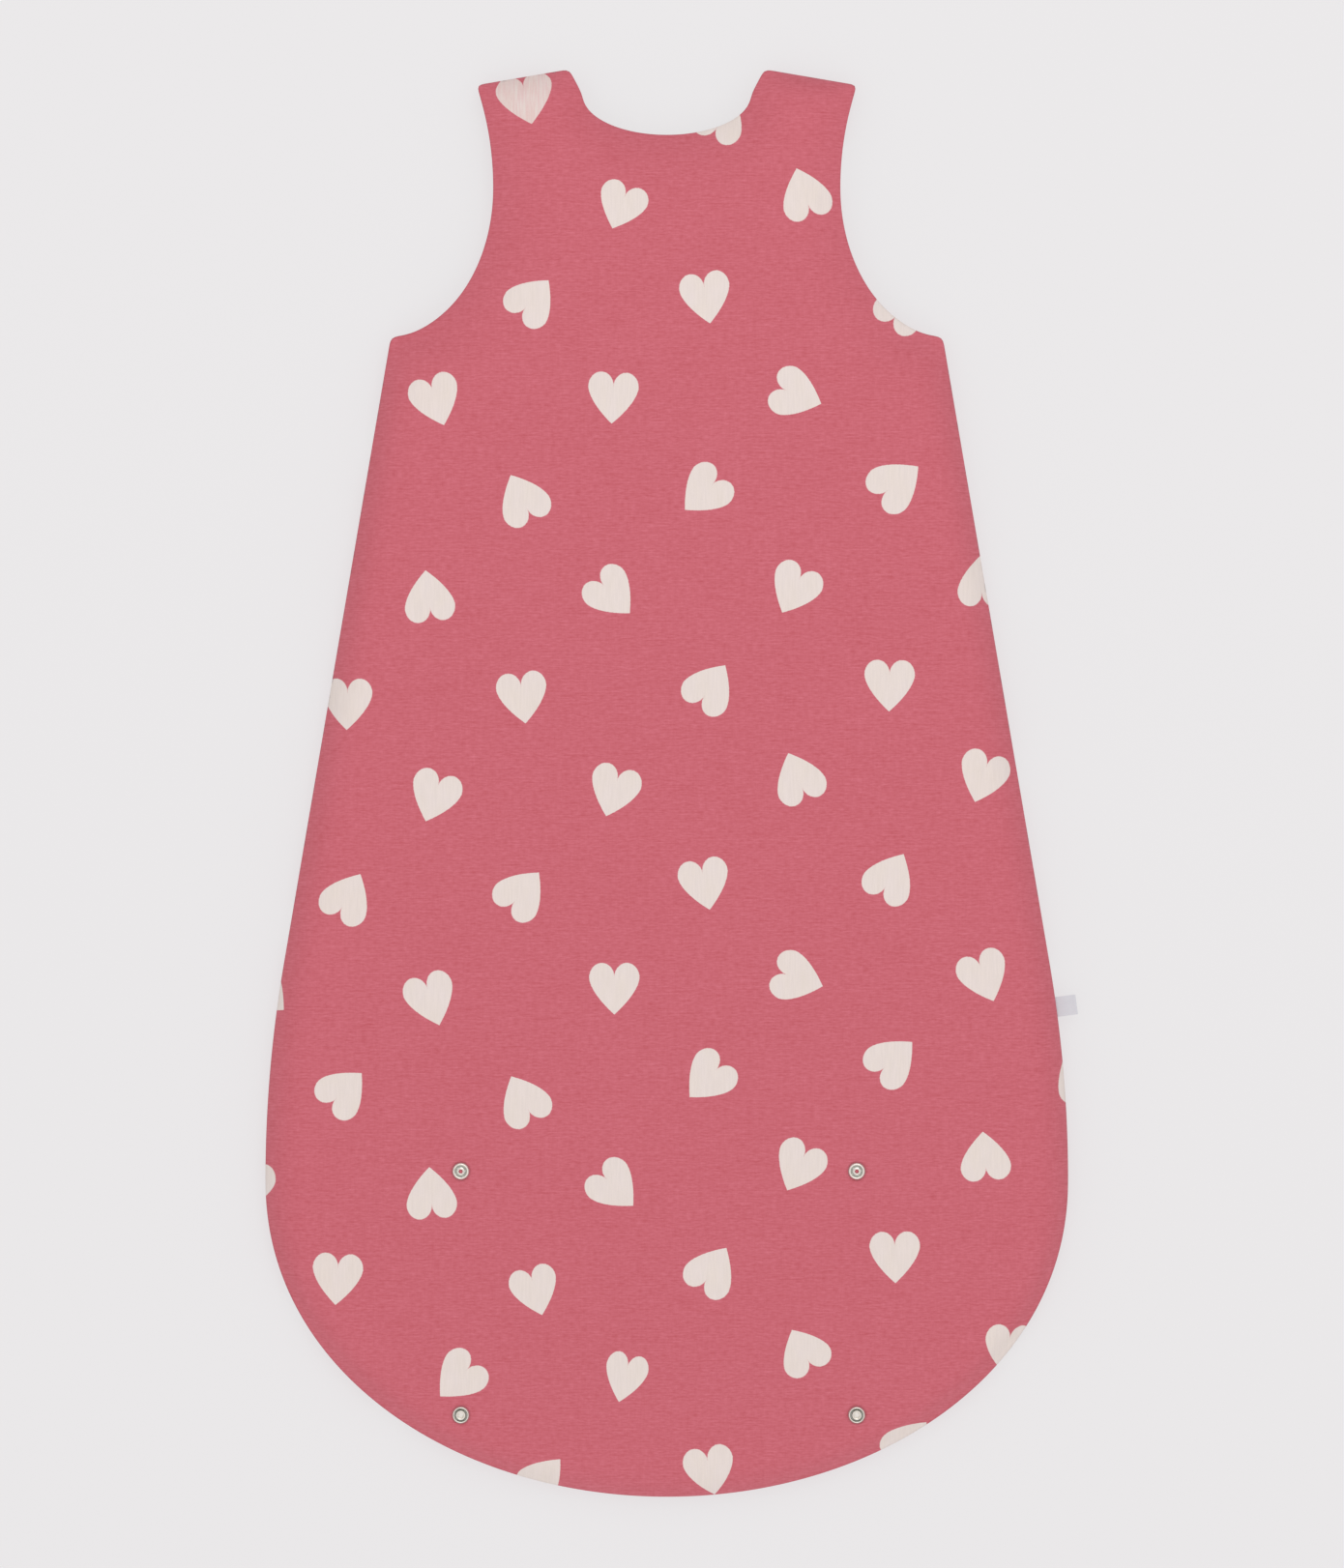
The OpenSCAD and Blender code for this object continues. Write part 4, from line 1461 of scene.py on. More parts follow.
@dataclass
class Panel:
    """A padded panel: printed jersey outside, lining inside and a sewn rim between."""

    name: str
    cut: Cut
    finishes: Finishes
    hearts: Sequence[Heart]
    softness: Softness = Softness()
    outward: int = 1
    bulge: float = 0.35
    inset: float = 2.4
    inset_reach: float = 12.0
    seam_half: float = 0.06
    rim_rows: tuple[Place, ...] = ((0.36, 0.15, 0.55), (0.72, 0.95, 0.2))
    snaps: Sequence[Span] = ()
    settled: tuple[Array, Array] | None = None

    def relief(self, net: Field) -> Array:
        """Return how far the outside leaves its plain shape.

        Args:
            net: the panel's field.

        Returns:
            Millimetres outwards.
        """
        soft = self.softness
        near_edge = 1 - np.exp(-(net.distance / soft.edge_reach) ** 2)
        loft = np.full(len(net.points), soft.loft if self.outward > 0 else 0.0)
        calm = np.ones(len(net.points))
        for x, y in self.snaps:
            apart = from_spot(net.points, x, y)
            start, reach = soft.hollow
            loft = loft * (1 - np.exp(-(np.maximum(apart - start, 0) / reach) ** 2))
            middle, reach = soft.groove
            loft = loft - soft.press * np.exp(-((apart - middle) / reach) ** 2)
            start, reach = soft.calm
            calm = calm * (1 - np.exp(-(np.maximum(apart - start, 0) / reach) ** 2))
        waves = soft.waves(net.points, soft.seed) * soft.wave
        if self.settled is not None:
            waves = Drape(self.cut).spread(self.settled, net.points)
        if self.outward < 0:
            waves = np.minimum(waves, 0) * soft.lying_share
        puckers = soft.puckers(net, soft.seed + 1) * soft.pucker
        return (loft + waves * calm) * near_edge + puckers * calm

    def seam_weight(self, net: Field, plain: Array) -> Array:
        """Return how far each edge point is a seam, from 0 at an opening or a cut to 1."""
        edge = net.points[:net.edge_count]
        weight = 1 - self.cut.mouth(np.abs(edge[:, 0]), edge[:, 1]) / self.cut.mouth_half
        return np.where(plain, 0, weight)

    def build(self, edge: Array, plain: Array, mesher: Mesher) -> Piece:
        """Build the panel.

        Args:
            edge: its outline, counterclockwise.
            plain: edge points at the zip or where the panel is only cut.
            mesher: how the outline is filled.

        Returns:
            The panel's object.
        """
        net = mesher.field(edge)
        count, total = net.edge_count, len(net.points)
        x, y = np.abs(net.points[:, 0]), net.points[:, 1]
        outer, inner = ((self.cut.back_outer(x, y), self.cut.back_inner(x, y))
                        if self.outward > 0
                        else (self.cut.front_outer(x, y), self.cut.front_inner(x, y)))
        outer = outer + self.outward * self.relief(net)
        seam = self.seam_weight(net, plain)
        pull = (self.inset * np.maximum(0, 1 - net.distance / self.inset_reach)
                * seam[net.nearest])
        flat_inner = net.points + net.inward * pull[:, None]
        edge_outer, edge_inner = outer[:count], inner[:count]
        inward = net.inward[:count]
        bulge = np.where(plain, 0, self.bulge)
        middle = self.cut.seam + self.outward * self.seam_half
        inner[:count] = np.where(plain, edge_inner, mix(edge_inner, middle, seam))
        rows = []
        for share, sewn, height in self.rim_rows:
            offset = mix(-bulge, sewn, seam)
            rows.append(np.column_stack([
                edge + inward * offset[:, None],
                mix(mix(edge_outer, edge_inner, share),
                    middle + (edge_outer - middle) * height, seam)]))
        verts = np.concatenate([
            np.column_stack([net.points, outer]), *rows, np.column_stack([flat_inner, inner])])
        base = total + 2 * count
        rings = [start + np.arange(count) for start in (0, total, total + count, base)]
        faces = [tuple(f) for f in net.faces.tolist()]
        kinds = [0] * len(faces)
        for near, far in zip(rings, rings[1:]):
            corners = (np.roll(near, -1), near, far, np.roll(far, -1))
            faces += list(zip(*(c.tolist() for c in corners)))
            kinds += [int(far is rings[-1])] * count
        faces += [tuple(f[::-1]) for f in (net.faces + base).tolist()]
        kinds += [1] * len(net.faces)
        if self.outward < 0:
            faces = [f[::-1] for f in faces]
        obj = make_object(self.name, verts, faces,
                          [self.finishes.jersey, self.finishes.lining], kinds)
        flat = np.concatenate([net.points, edge, edge, net.points])
        marks = Print.attribute(net.points, self.hearts)
        hidden = np.tile(NO_HEART, (total, 1))
        self.dress(obj, flat, np.concatenate([marks, marks[:count], marks[:count], hidden]))
        return obj

    @staticmethod
    def dress(obj: Piece, flat: Array, marks: Array) -> None:
        """Give a mesh its place on the cloth and its hearts.

        Args:
            obj: the object.
            flat: flat place of each point.
            marks: place of each point in its nearest heart.
        """
        mesh = obj.data
        layer = mesh.uv_layers.new(name="cloth")
        corners = np.empty(len(mesh.loops), np.int32)
        mesh.loops.foreach_get("vertex_index", corners)
        layer.data.foreach_set("uv", (flat[corners] * MM).astype(np.float32).ravel())
        hearts = mesh.attributes.new(HEART, "FLOAT_VECTOR", "POINT")
        hearts.data.foreach_set("vector", marks.astype(np.float32).ravel())


@dataclass
class Shell:
    """All the padded panels of the bag."""

    cut: Cut
    finishes: Finishes
    snaps: Sequence[Span]
    fill: float = 0.5
    dense: float = 0.25
    spacing: float = 2.0
    cut_spacing: float = 5.0
    corner: float = 6.0
    fold_net: float = 38.0
    fold_reach: float = 36.0
    crease_reach: float = 5.0
    zip_margin: float = 0.6
    neck_margin: float = 4.0

    def closed_edge(self, depth: float, slot: bool) -> Array:
        """Trace the whole outline.

        Args:
            depth: depth of the neckline.
            slot: whether the zip's slot is cut into it.

        Returns:
            Points close together, counterclockwise, with rounded corners.
        """
        right = self.cut.right_edge(depth)
        if slot:
            right = right[(right[:, 0] > self.cut.slot_half) | (right[:, 1] < 0)]
            end = self.cut.y_zip_end
            top = [self.cut.slot_half, float(self.cut.neck_edge(self.cut.slot_half, depth))]
            right = np.concatenate([right, [top, [self.cut.slot_half, end], [0, end]]])
        left = right[::-1][1:-1] * (-1, 1)
        loop = np.concatenate([right, left, right[:1]])
        return rounded(resampled(loop, self.dense)[:-1], self.corner)

    def back(self) -> None:
        """Build the back, from the shoulders to the foot's end."""
        dense = self.closed_edge(self.cut.back_neck_depth, False)
        edge = resampled(np.concatenate([dense, dense[:1]]), self.spacing)[:-1]
        settled = Drape(self.cut).lifts(edge, self.snaps)
        panel = Panel("back_panel", self.cut, self.finishes, Print().back_hearts(),
                      snaps=self.snaps, settled=settled)
        obj = panel.build(edge, np.zeros(len(edge), bool),
                          Mesher(fold=(self.cut.y_fold, self.fold_net), spots=self.snaps))
        self.fold_with_foot(obj)
        self.declare(obj, "back", "foot_back")

    def declare(self, obj: Piece, *parts: str) -> None:
        """Hide the shell, wadding and lining of the parts that a panel stands for.

        Args:
            obj: the panel; not used.
            parts: names of the parts.
        """
        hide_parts(*(f"{part}_{layer}" for part in parts
                           for layer in ("shell", "wadding", "lining")))

    def fold_with_foot(self, obj: Piece) -> None:
        """Work out the ends of the foot's fold, which nothing uses, and bake the panel's placement
        into its mesh.

        Args:
            obj: the panel.
        """
        y, z, reach = self.cut.y_fold, self.cut.z_fold, self.fold_reach
        (y - reach) * MM
        z * MM
        (y + reach) * MM
        z * MM
        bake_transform(obj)

    def runs(self, dense: Array) -> tuple[Array, Array, Array]:
        """Split the front's outline at the height where the flaps begin.

        Args:
            dense: the front's outline.

        Returns:
            The right upper run, the slot's lower run and the lower run round the foot.
        """
        y = self.cut.y_flap
        above = dense[:, 1] > y
        cuts = []
        for k in np.flatnonzero(above != np.roll(above, 1)):
            a, b = dense[k - 1], dense[k]
            cuts.append((k, a + (b - a) * (y - a[1]) / (b[1] - a[1])))
        (i, p), (j, q), (k, r), (m, s) = cuts
        upper = np.concatenate([[p], dense[i:j], [q]])
        slot = np.concatenate([[q], dense[j:k], [r]])
        foot = np.concatenate([[s], dense[m:], dense[:i], [p]])
        return upper, slot, foot

    def front(self) -> None:
        """Build the lower front and the two upper fronts, parted by the zip."""
        dense = self.closed_edge(self.cut.front_neck_depth, True)
        upper, slot, foot = self.runs(dense)
        hearts = Print().front_hearts()
        upper_line = resampled(upper, self.spacing)
        slot_line = resampled(slot, self.spacing)
        foot_line = resampled(foot, self.spacing)
        right_cut = resampled(np.array([foot_line[-1], slot_line[0]]), self.cut_spacing)
        left_cut = right_cut[::-1] * (-1, 1)

        edge = np.concatenate([foot_line, right_cut[1:-1], slot_line, left_cut[1:-1]])
        plain = np.ones(len(edge), bool)
        plain[1:len(foot_line) - 1] = False
        lower = Panel("lower_front_panel", self.cut, self.finishes, hearts, outward=-1)
        obj = lower.build(edge, plain, Mesher(fold=(self.cut.y_fold, self.fold_net)))
        self.fold_with_foot(obj)
        self.declare(obj, "foot_front")

        edge = np.concatenate([upper_line, right_cut[::-1][1:-1]])
        neck = self.cut.neck_edge(np.array(0.0), self.cut.front_neck_depth)
        plain = (np.abs(edge[:, 0] - self.cut.slot_half) < self.zip_margin) & (
            edge[:, 1] < neck - self.neck_margin)
        plain[len(upper_line) - 1:] = True
        plain[0] = True
        for side, name, flap in SIDES:
            loop = edge if side > 0 else (edge * (-1, 1))[::-1]
            marks = plain if side > 0 else plain[::-1]
            (x0, y0), (x1, y1) = self.cut.crease_low, self.cut.crease_high
            mesher = Mesher(crease=((side * x0, y0), (side * x1, y1)))
            panel = Panel(f"{name}_front_panel", self.cut, self.finishes, hearts, outward=-1)
            obj = panel.build(loop, marks, mesher)
            run = math.hypot(x1 - x0, y1 - y0) / self.crease_reach
            dx, dy = (y1 - y0) / run * side, -(x1 - x0) / run
            (side * x0 + dx) * MM
            (y0 + dy) * MM
            (side * x0 - dx) * MM
            (y0 - dy) * MM
            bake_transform(obj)
            self.declare(obj, f"front_{name}", f"{name}_flap")


# Snaps

Outline = Sequence[Span]


def revolved(profile: Callable[[float], Outline], centre: Place, steps: int) -> Solid:
    """Turn an outline round an upright axis.

    Args:
        profile: gives the closed outline, as radius and height, at an angle.
        centre: place of the axis' foot.
        steps: number of outlines round the axis.

    Returns:
        Points and faces.
    """
    verts: list[Place] = []
    faces: list[Face] = []
    count = len(profile(0.0))
    for k in range(steps):
        angle = 2 * math.pi * k / steps
        for r, z in profile(angle):
            verts.append((centre[0] + r * math.cos(angle), centre[1] + r * math.sin(angle),
                          centre[2] + z))
    for k in range(steps):
        here, there = k * count, (k + 1) % steps * count
        for j in range(count):
            n = (j + 1) % count
            faces.append((here + j, there + j, there + n, here + n))
    return np.array(verts), faces


@dataclass(frozen=True)
class SnapPair:
    """Two snaps of one height, with one finish."""

    cut: Cut
    finishes: Finishes
    y: float
    places: Span = (-129.3, 119.3)
    press: float = 0.15
    # The first faces of each outline, the thin lip at the snap's foot, take the darker metal as a
    # painted shadow round the snap.
    painted_shadow_faces: int = 4

    def seats(self) -> list[Place]:
        """Return the middle of each snap's underside."""
        return [(x, self.y, float(self.cut.back_outer(np.array(abs(x)), np.array(self.y)))
                 - self.press) for x in self.places]

    def both(self, profile: Callable[[float], Outline], steps: int = 60) -> Solid:
        """Turn an outline, given for each angle, at both places."""
        return Assembly(*(revolved(profile, seat, steps) for seat in self.seats())).solid()

    def build(self, name: str, profile: Callable[[float], Outline], recess: tuple[int, int],
              body: Body, node: str) -> None:
        """Build both snaps as one piece.

        Args:
            name: name of the piece.
            profile: outline of a snap at an angle.
            recess: first and last face of the outline that take the darker metal, as painted shade
                and painted dark reflection in the snap's groove.
            body: body that the piece rides on.
            node: node that it stands for.
        """
        verts, faces = self.both(profile)
        count = len(profile(0.0))
        # Faces in the groove and on the outer lip take the darker metal: painted shade and painted
        # dark reflection in the groove, and painted shadow round the snap's foot.
        kinds = [int(recess[0] <= k % count <= recess[1] or k % count < self.painted_shadow_faces)
                 for k in range(len(faces))]
        obj = make_object(name, verts, faces,
                          [self.finishes.snap_metal, self.finishes.snap_recess], kinds, sharp=50)
        place_piece(obj, body, Slot.SNAP_METAL, node)


@dataclass(frozen=True)
class StudPair(SnapPair):
    """The upper snaps: a rolled ring, and a stud that is open in the middle."""

    prongs: int = 5
    prong_shape: int = 8
    notch: float = 0.28

    def profile(self, angle: float) -> list[Span]:
        """Return the outline at an angle."""
        notch = max(0.0, math.cos(self.prongs * angle)) ** self.prong_shape * self.notch
        return [(1.2, 0.0), (5.0, 0.0), (5.3, 0.14), (5.28, 0.34), (5.0, 0.5), (4.86, 1.0),
                (4.6, 1.16), (4.2, 1.16), (3.9, 1.02), (3.72, 0.75), (3.62, 0.5 + notch),
                (3.1, 0.42 + notch), (2.62, 0.5 + notch), (2.5, 0.72), (2.3, 0.86),
                (2.0, 0.95), (1.88, 1.3), (1.88, 1.6), (1.96, 2.0), (1.88, 2.28), (1.68, 2.4),
                (1.4, 2.36), (1.24, 2.2), (1.2, 1.9)]

    def make(self) -> None:
        """Build the fabric in the studs, and the pair."""
        self.centres()
        self.build("length_stud_pair", self.profile, (9, 12), Body.BAG, "length_studs")

    def centres(self) -> None:
        """Build the two domes of fabric that show inside the studs."""
        dome = [(0.01, 0.2), (1.19, 0.2), (1.19, 1.25), (1.05, 1.5), (0.7, 1.68), (0.01, 1.75)]
        points, faces = self.both(lambda _: dome, 24)
        obj = make_object("stud_fabric_centres", points, faces, [self.finishes.jersey])
        Panel.dress(obj, points[:, :2], np.tile(NO_HEART, (len(points), 1)))
        place_piece(obj, Body.BAG, Slot.JERSEY)


@dataclass(frozen=True)
class SocketPair(SnapPair):
    """The lower snaps: a rolled ring round a closed well."""

    dimple: float = 0.05

    def profile(self, angle: float) -> list[Span]:
        """Return the outline at an angle."""
        dimple = self.dimple * math.cos(2 * angle)
        return [(0.01, 0.0), (5.0, 0.0), (5.3, 0.14), (5.28, 0.34), (5.0, 0.5), (4.88, 1.0),
                (4.66, 1.16), (4.36, 1.14), (4.12, 0.95), (3.98, 0.7), (3.7, 0.62 + dimple),
                (3.4, 0.8), (3.28, 1.3), (3.2, 1.9), (3.05, 2.34), (2.8, 2.5), (2.45, 2.5),
                (2.24, 2.32), (2.15, 1.9), (2.12, 1.0), (1.9, 0.74), (1.3, 0.86), (0.6, 1.0),
                (0.01, 1.04)]

    def make(self) -> None:
        """Build the pair."""
        self.build("length_socket_pair", self.profile, (8, 14), Body.FOOT, "length_sockets")


# Zip

def grid_faces(rows: int, columns: int, loop_rows: bool = False,
               loop_columns: bool = True) -> list[Face]:
    """Join rows of points with quads.

    Args:
        rows: number of rows.
        columns: points in each row.
        loop_rows: whether the last row joins the first.
        loop_columns: whether each row is closed.

    Returns:
        The faces.
    """
    faces = []
    for i in range(rows if loop_rows else rows - 1):
        here, there = i * columns, (i + 1) % rows * columns
        for j in range(columns if loop_columns else columns - 1):
            n = (j + 1) % columns
            faces.append((here + j, here + n, there + n, there + j))
    return faces


def tube(line: Array, radius: Array, first: Array, second: Array, sides: int) -> Solid:
    """Wrap a line in a closed tube.

    Args:
        line: points of the line.
        radius: the tube's radius at each point.
        first: a direction square to the line, at each point or for all.
        second: the direction square to both.
        sides: points round the tube.

    Returns:
        Points and faces.
    """
    around = (2 * math.pi * np.arange(sides) / sides)[None, :, None]
    verts = (line[:, None, :] + radius[:, None, None] * (
        np.cos(around) * np.atleast_2d(first)[:, None, :]
        + np.sin(around) * second)).reshape(-1, 3)
    faces = grid_faces(len(line), sides)
    faces += [tuple(range(sides))[::-1], tuple(range(len(verts) - sides, len(verts)))]
    return verts, faces


def prism(outline: Array, low: float, high: float, bevel: float) -> Solid:
    """Raise a flat outline to a block with rounded edges.

    Args:
        outline: corners, counterclockwise.
        low: height of its underside.
        high: height of its top.
        bevel: width of the rounding.

    Returns:
        Points and faces.
    """
    shaped = bmesh.new()
    face = shaped.faces.new([shaped.verts.new((x, y, low)) for x, y in outline])
    raised = bmesh.ops.extrude_face_region(shaped, geom=[face])
    bmesh.ops.translate(shaped, vec=(0, 0, high - low),
                        verts=[v for v in raised["geom"] if isinstance(v, bmesh.types.BMVert)])
    bmesh.ops.recalc_face_normals(shaped, faces=shaped.faces)
    edges = [e for e in shaped.edges if e.calc_face_angle(0) > math.radians(40)]
    bmesh.ops.bevel(shaped, geom=edges, offset=bevel, segments=3, profile=0.5, affect="EDGES")
    shaped.verts.index_update()
    verts = np.array([tuple(v.co) for v in shaped.verts])
    faces = [tuple(v.index for v in f.verts) for f in shaped.faces]
    shaped.free()
    return verts, faces


def rectangle(x0: float, x1: float, y0: float, y1: float) -> Array:
    """Return the corners of a rectangle."""
    return np.array([(x0, y0), (x1, y0), (x1, y1), (x0, y1)])


@dataclass(frozen=True)
class Zip:
    """The zip of the front: its teeth, stops, slider, pull and topstitching."""

    cut: Cut
    finishes: Finishes
    y_top: float = 353
    stop: float = 3
    stop_over: float = 0.2
    stop_round: float = 0.3
    end_wider: float = 0.8
    end_round: float = 0.45
    z_chain: float = 4.6
    inner: float = 0.9
    inner_closed: float = 0.25
    outer: float = 2.4
    chain_gap: float = 0.3
    tooth_height: float = 2.0
    tooth_shape: float = 0.7
    tooth_steps: int = 8
    wire_sides: int = 5
    pitch: float = 1.5
    wire: float = 0.3
    slider: Span = (-289.5, -278.5)
    slider_half: float = 4.2
    plate: float = 0.9
    plate_round: float = 0.28
    channel: float = 1.35
    rail: Span = (3.35, 4.15)
    rail_ends: Span = (1.6, 2.4)
    rail_gap: Span = (4.0, 5.2)
    rail_round: float = 0.12
    overlap: float = 0.2
    ear: Span = (1.5, 2.1)
    post_half: float = 0.6
    post: Span = (3.0, 0.1)
    post_round: float = 0.25
    pin: Span = (0.4, 2.1)
    y_pin: float = -282.9
    z_pin: float = 1.25
    pull_start: float = 3
    pull_length: float = 20
    pull_half: float = 3
    pull_thick: float = 1
    pull_round: float = 0.22
    pull_face: float = 0.94
    hole_half: float = 1.35
    hole: Span = (9.5, 1.9)
    stitch: float = 2.5
    stitch_gap: float = 0.7
    stitch_offset: float = 3.4
    stitch_clear: float = 0.6
    stitch_places: tuple[float, ...] = (0.0, 0.12, 0.5, 0.88, 1.0)
    stitch_heights: tuple[float, ...] = (0.25, 0.02, -0.06, 0.02, 0.25)
    stitch_radii: tuple[float, ...] = (0.1, 0.2, 0.24, 0.2, 0.1)
    thread_sides: int = 6
    smooth: float = 80

    def coil(self, side: int, low: float, high: float, inner: float) -> Solid:
        """Wind one row of teeth.

        Args:
            side: 1 for the right row, -1 for the left.
            low: lower end.
            high: upper end.
            inner: distance of the teeth's tips from the middle.

        Returns:
            Points and faces.
        """
        run = high - low - 2 * self.wire
        turns = int(run / self.pitch)
        k = np.arange(turns * self.tooth_steps + 1)
        turn = 2 * math.pi * k / self.tooth_steps + (math.pi if side < 0 else 0)
        reach = (self.outer - inner) / 2 - self.wire
        swing = np.sign(np.cos(turn)) * np.abs(np.cos(turn)) ** self.tooth_shape
        line = np.stack([
            (self.outer + inner) / 2 + reach * swing,
            low + self.wire + run / turns * k / self.tooth_steps,
            self.z_chain + (self.tooth_height / 2 - self.wire) * np.sin(turn)], 1)
        outwards = np.stack([np.cos(turn), np.zeros(len(k)), np.sin(turn)], 1)
        verts, faces = tube(line, np.full(len(k), self.wire), outwards, np.array([0, 1, 0.0]),
                            self.wire_sides)
        return verts * (side, 1, 1), faces

    def teeth(self) -> None:
        """Build both rows of teeth and the closed chain below them."""
        for side, name, body in SIDES:
            row = Assembly(self.coil(side, self.cut.y_flap, self.y_top - self.stop, self.inner))
            row.piece(f"{name}_zip_teeth", self.finishes.coil, body, Slot.COIL,
                      [f"{name}_zip_coil"], self.smooth)
        end = Assembly(*(self.coil(side, self.cut.y_zip_end + self.stop,
                                   self.cut.y_flap - self.chain_gap, self.inner_closed)
                         for side in (1, -1)))
        end.piece("closed_zip_teeth", self.finishes.coil, Body.BAG, Slot.COIL,
                  ["zip_chain_end"], self.smooth)

    def stops(self) -> None:
        """Build the stops at both ends."""
        half = self.tooth_height / 2 + self.stop_over
        z0, z1 = self.z_chain - half, self.z_chain + half
        for side, name, body in SIDES:
            x0, x1 = sorted((side * self.inner, side * self.outer))
            clamp = Assembly(prism(rectangle(x0, x1, self.y_top - self.stop, self.y_top),
                                   z0, z1, self.stop_round))
            clamp.piece(f"{name}_zip_stop", self.finishes.zip_metal, body, Slot.ZIP_METAL,
                        [f"{name}_top_stop"])
        low, width = self.cut.y_zip_end, self.outer + self.end_wider
        clamp = Assembly(prism(rectangle(-width, width, low, low + self.stop), z0, z1,
                               self.end_round))
        clamp.piece("zip_end_stop", self.finishes.zip_metal, Body.BAG, Slot.ZIP_METAL,
                    ["zip_bottom_stop"])

    def body(self) -> None:
        """Build the slider: two plates, their rails, the post between and the pull's ears."""
        low, high = self.slider
        half = self.slider_half
        shape = [(half - 0.9, low), (half - 0.25, low + 1.4), (half, high - 5),
                 (half, high - 2.2), (half - 0.7, high - 0.7), (half - 2.0, high)]
        outline = np.array(shape + [(-x, y) for x, y in reversed(shape)])
        z0, z1 = self.z_chain - self.channel, self.z_chain + self.channel
        body = Assembly(prism(outline, z0 - self.plate, z0, self.plate_round),
                        prism(outline, z1, z1 + self.plate, self.plate_round))
        y, root = self.y_pin, z0 - self.plate + 0.1
        ear = np.array([(y - 1.3, root), (y - 1.0, self.z_pin), (y - 0.55, self.z_pin - 0.5),
                        (y + 0.55, self.z_pin - 0.5), (y + 1.0, self.z_pin), (y + 1.3, root)])
        for side in (1, -1):
            x0, x1 = sorted(side * x for x in self.rail)
            rail = rectangle(x0, x1, low + self.rail_ends[0], high - self.rail_ends[1])
            for a, b in ((z0 - self.overlap, self.rail_gap[0]),
                         (self.rail_gap[1], z1 + self.overlap)):
                body.add(*prism(rail, a, b, self.rail_round))
            verts, faces = prism(ear, *sorted(side * x for x in self.ear), self.rail_round)
            body.add(verts[:, [2, 0, 1]], faces)
        post = rectangle(-self.post_half, self.post_half, high - self.post[0],
                         high - self.post[1])
        body.add(*prism(post, z0 - self.overlap / 2, z1 + self.overlap / 2, self.post_round))
        radius, reach = self.pin
        body.add(*self.about_pin([(0.01, -reach), (radius, -reach), (radius, reach),
                                  (0.01, reach)], 20))
        body.piece("zip_slider_body", self.finishes.zip_metal, Body.SLIDER, Slot.ZIP_METAL,
                   ["zip_slider"])

    def about_pin(self, profile: Outline, steps: int) -> Solid:
        """Turn an outline, of radii and distances from the middle, about the pull's pin."""
        verts, faces = revolved(lambda _: profile, (0, 0, 0), steps)
        return verts[:, [2, 0, 1]] + (0, self.y_pin, self.z_pin), faces

    def pull(self) -> None:
        """Build the pull: its knuckle, neck and pierced plate."""
        start, end = self.y_pin + self.pull_start, self.y_pin + self.pull_length

        def plate_edge(wide: float, low: float, high: float, narrowing: float) -> Array:
            """Draw a rounded outline, narrower at its lower end.

            Args:
                wide: half width.
                low: lower end.
                high: upper end.
                narrowing: width of the lower end, as a share of the upper.

            Returns:
                32 points.
            """
            a = np.linspace(0, math.pi, 16)
            top = np.stack([wide * np.cos(a), high - wide + wide * np.sin(a)], 1)
            w = wide * narrowing
            bottom = np.stack([w * np.cos(a + math.pi),
                               low + w * 0.6 + w * 0.6 * np.sin(a + math.pi)], 1)
            return np.concatenate([top, bottom])

        outer = plate_edge(self.pull_half, start, end, 0.72)
        inner = plate_edge(self.hole_half, end - self.hole[0], end - self.hole[1], 0.8)
        face = outer * (self.pull_face, 1)
        t = self.pull_thick / 2
        level = [(outer, self.pull_round - t), (face, -t), (inner, -t),
                 (inner, t), (face, t), (outer, t - self.pull_round)]
        count = len(outer)
        verts = np.concatenate([np.column_stack([p, np.full(count, self.z_pin + z)])
                                for p, z in level])
        pull = Assembly((verts, grid_faces(len(level), count, loop_rows=True)))
        pull.add(*prism(rectangle(-1.2, 1.2, self.y_pin + 0.5, start + 1.2),
                        self.z_pin - t + 0.05, self.z_pin + t - 0.05, 0.15))
        pull.add(*self.about_pin([(0.5, -1.2), (0.8, -1.2), (0.9, -1.05), (0.9, 1.05),
                                  (0.8, 1.2), (0.5, 1.2)], 28))
        pull.piece("zip_pull_tab", self.finishes.zip_metal, Body.PULL, Slot.ZIP_METAL,
                   ["zip_pull"])

    def stitches(self, name: str, line: Array, body: Body) -> None:
        """Sew a row of stitches on the outside of the front.

        Args:
            name: name of the piece.
            line: flat points of the line.
            body: body that the piece rides on.
        """
        length = lengths(line)
        step = self.stitch + self.stitch_gap
        thread = Assembly()
        for k in range(int(length[-1] / step)):
            at = k * step + self.stitch * np.array(self.stitch_places)
            p = np.stack([np.interp(at, length, line[:, c]) for c in (0, 1)], 1)
            z = self.cut.front_outer(np.abs(p[:, 0]), p[:, 1]) + self.stitch_heights
            way = p[-1] - p[0]
            way /= np.hypot(*way)
            thread.add(*tube(np.column_stack([p, z]), np.array(self.stitch_radii),
                             np.array([-way[1], way[0], 0]), np.array([0, 0, 1.0]),
                             self.thread_sides))
        thread.piece(name, self.finishes.thread, body, Slot.TAPE, (), self.smooth)

    def topstitching(self) -> None:
        """Sew beside the zip and round its lower end."""
        x = self.cut.slot_half + self.stitch_offset
        above, below = (self.cut.y_flap + gap for gap in (self.stitch_clear, -self.stitch_clear))
        for side, name, body in SIDES:
            line = np.array([[side * x, above], [side * x, self.y_top + self.stop]])
            self.stitches(f"{name}_zip_stitching", line, body)
        low = self.cut.y_zip_end - self.stitch_offset
        line = np.array([[x, below], [x, low], [-x, low], [-x, below]])
        self.stitches("zip_end_stitching", resampled(line, 0.4), Body.BAG)

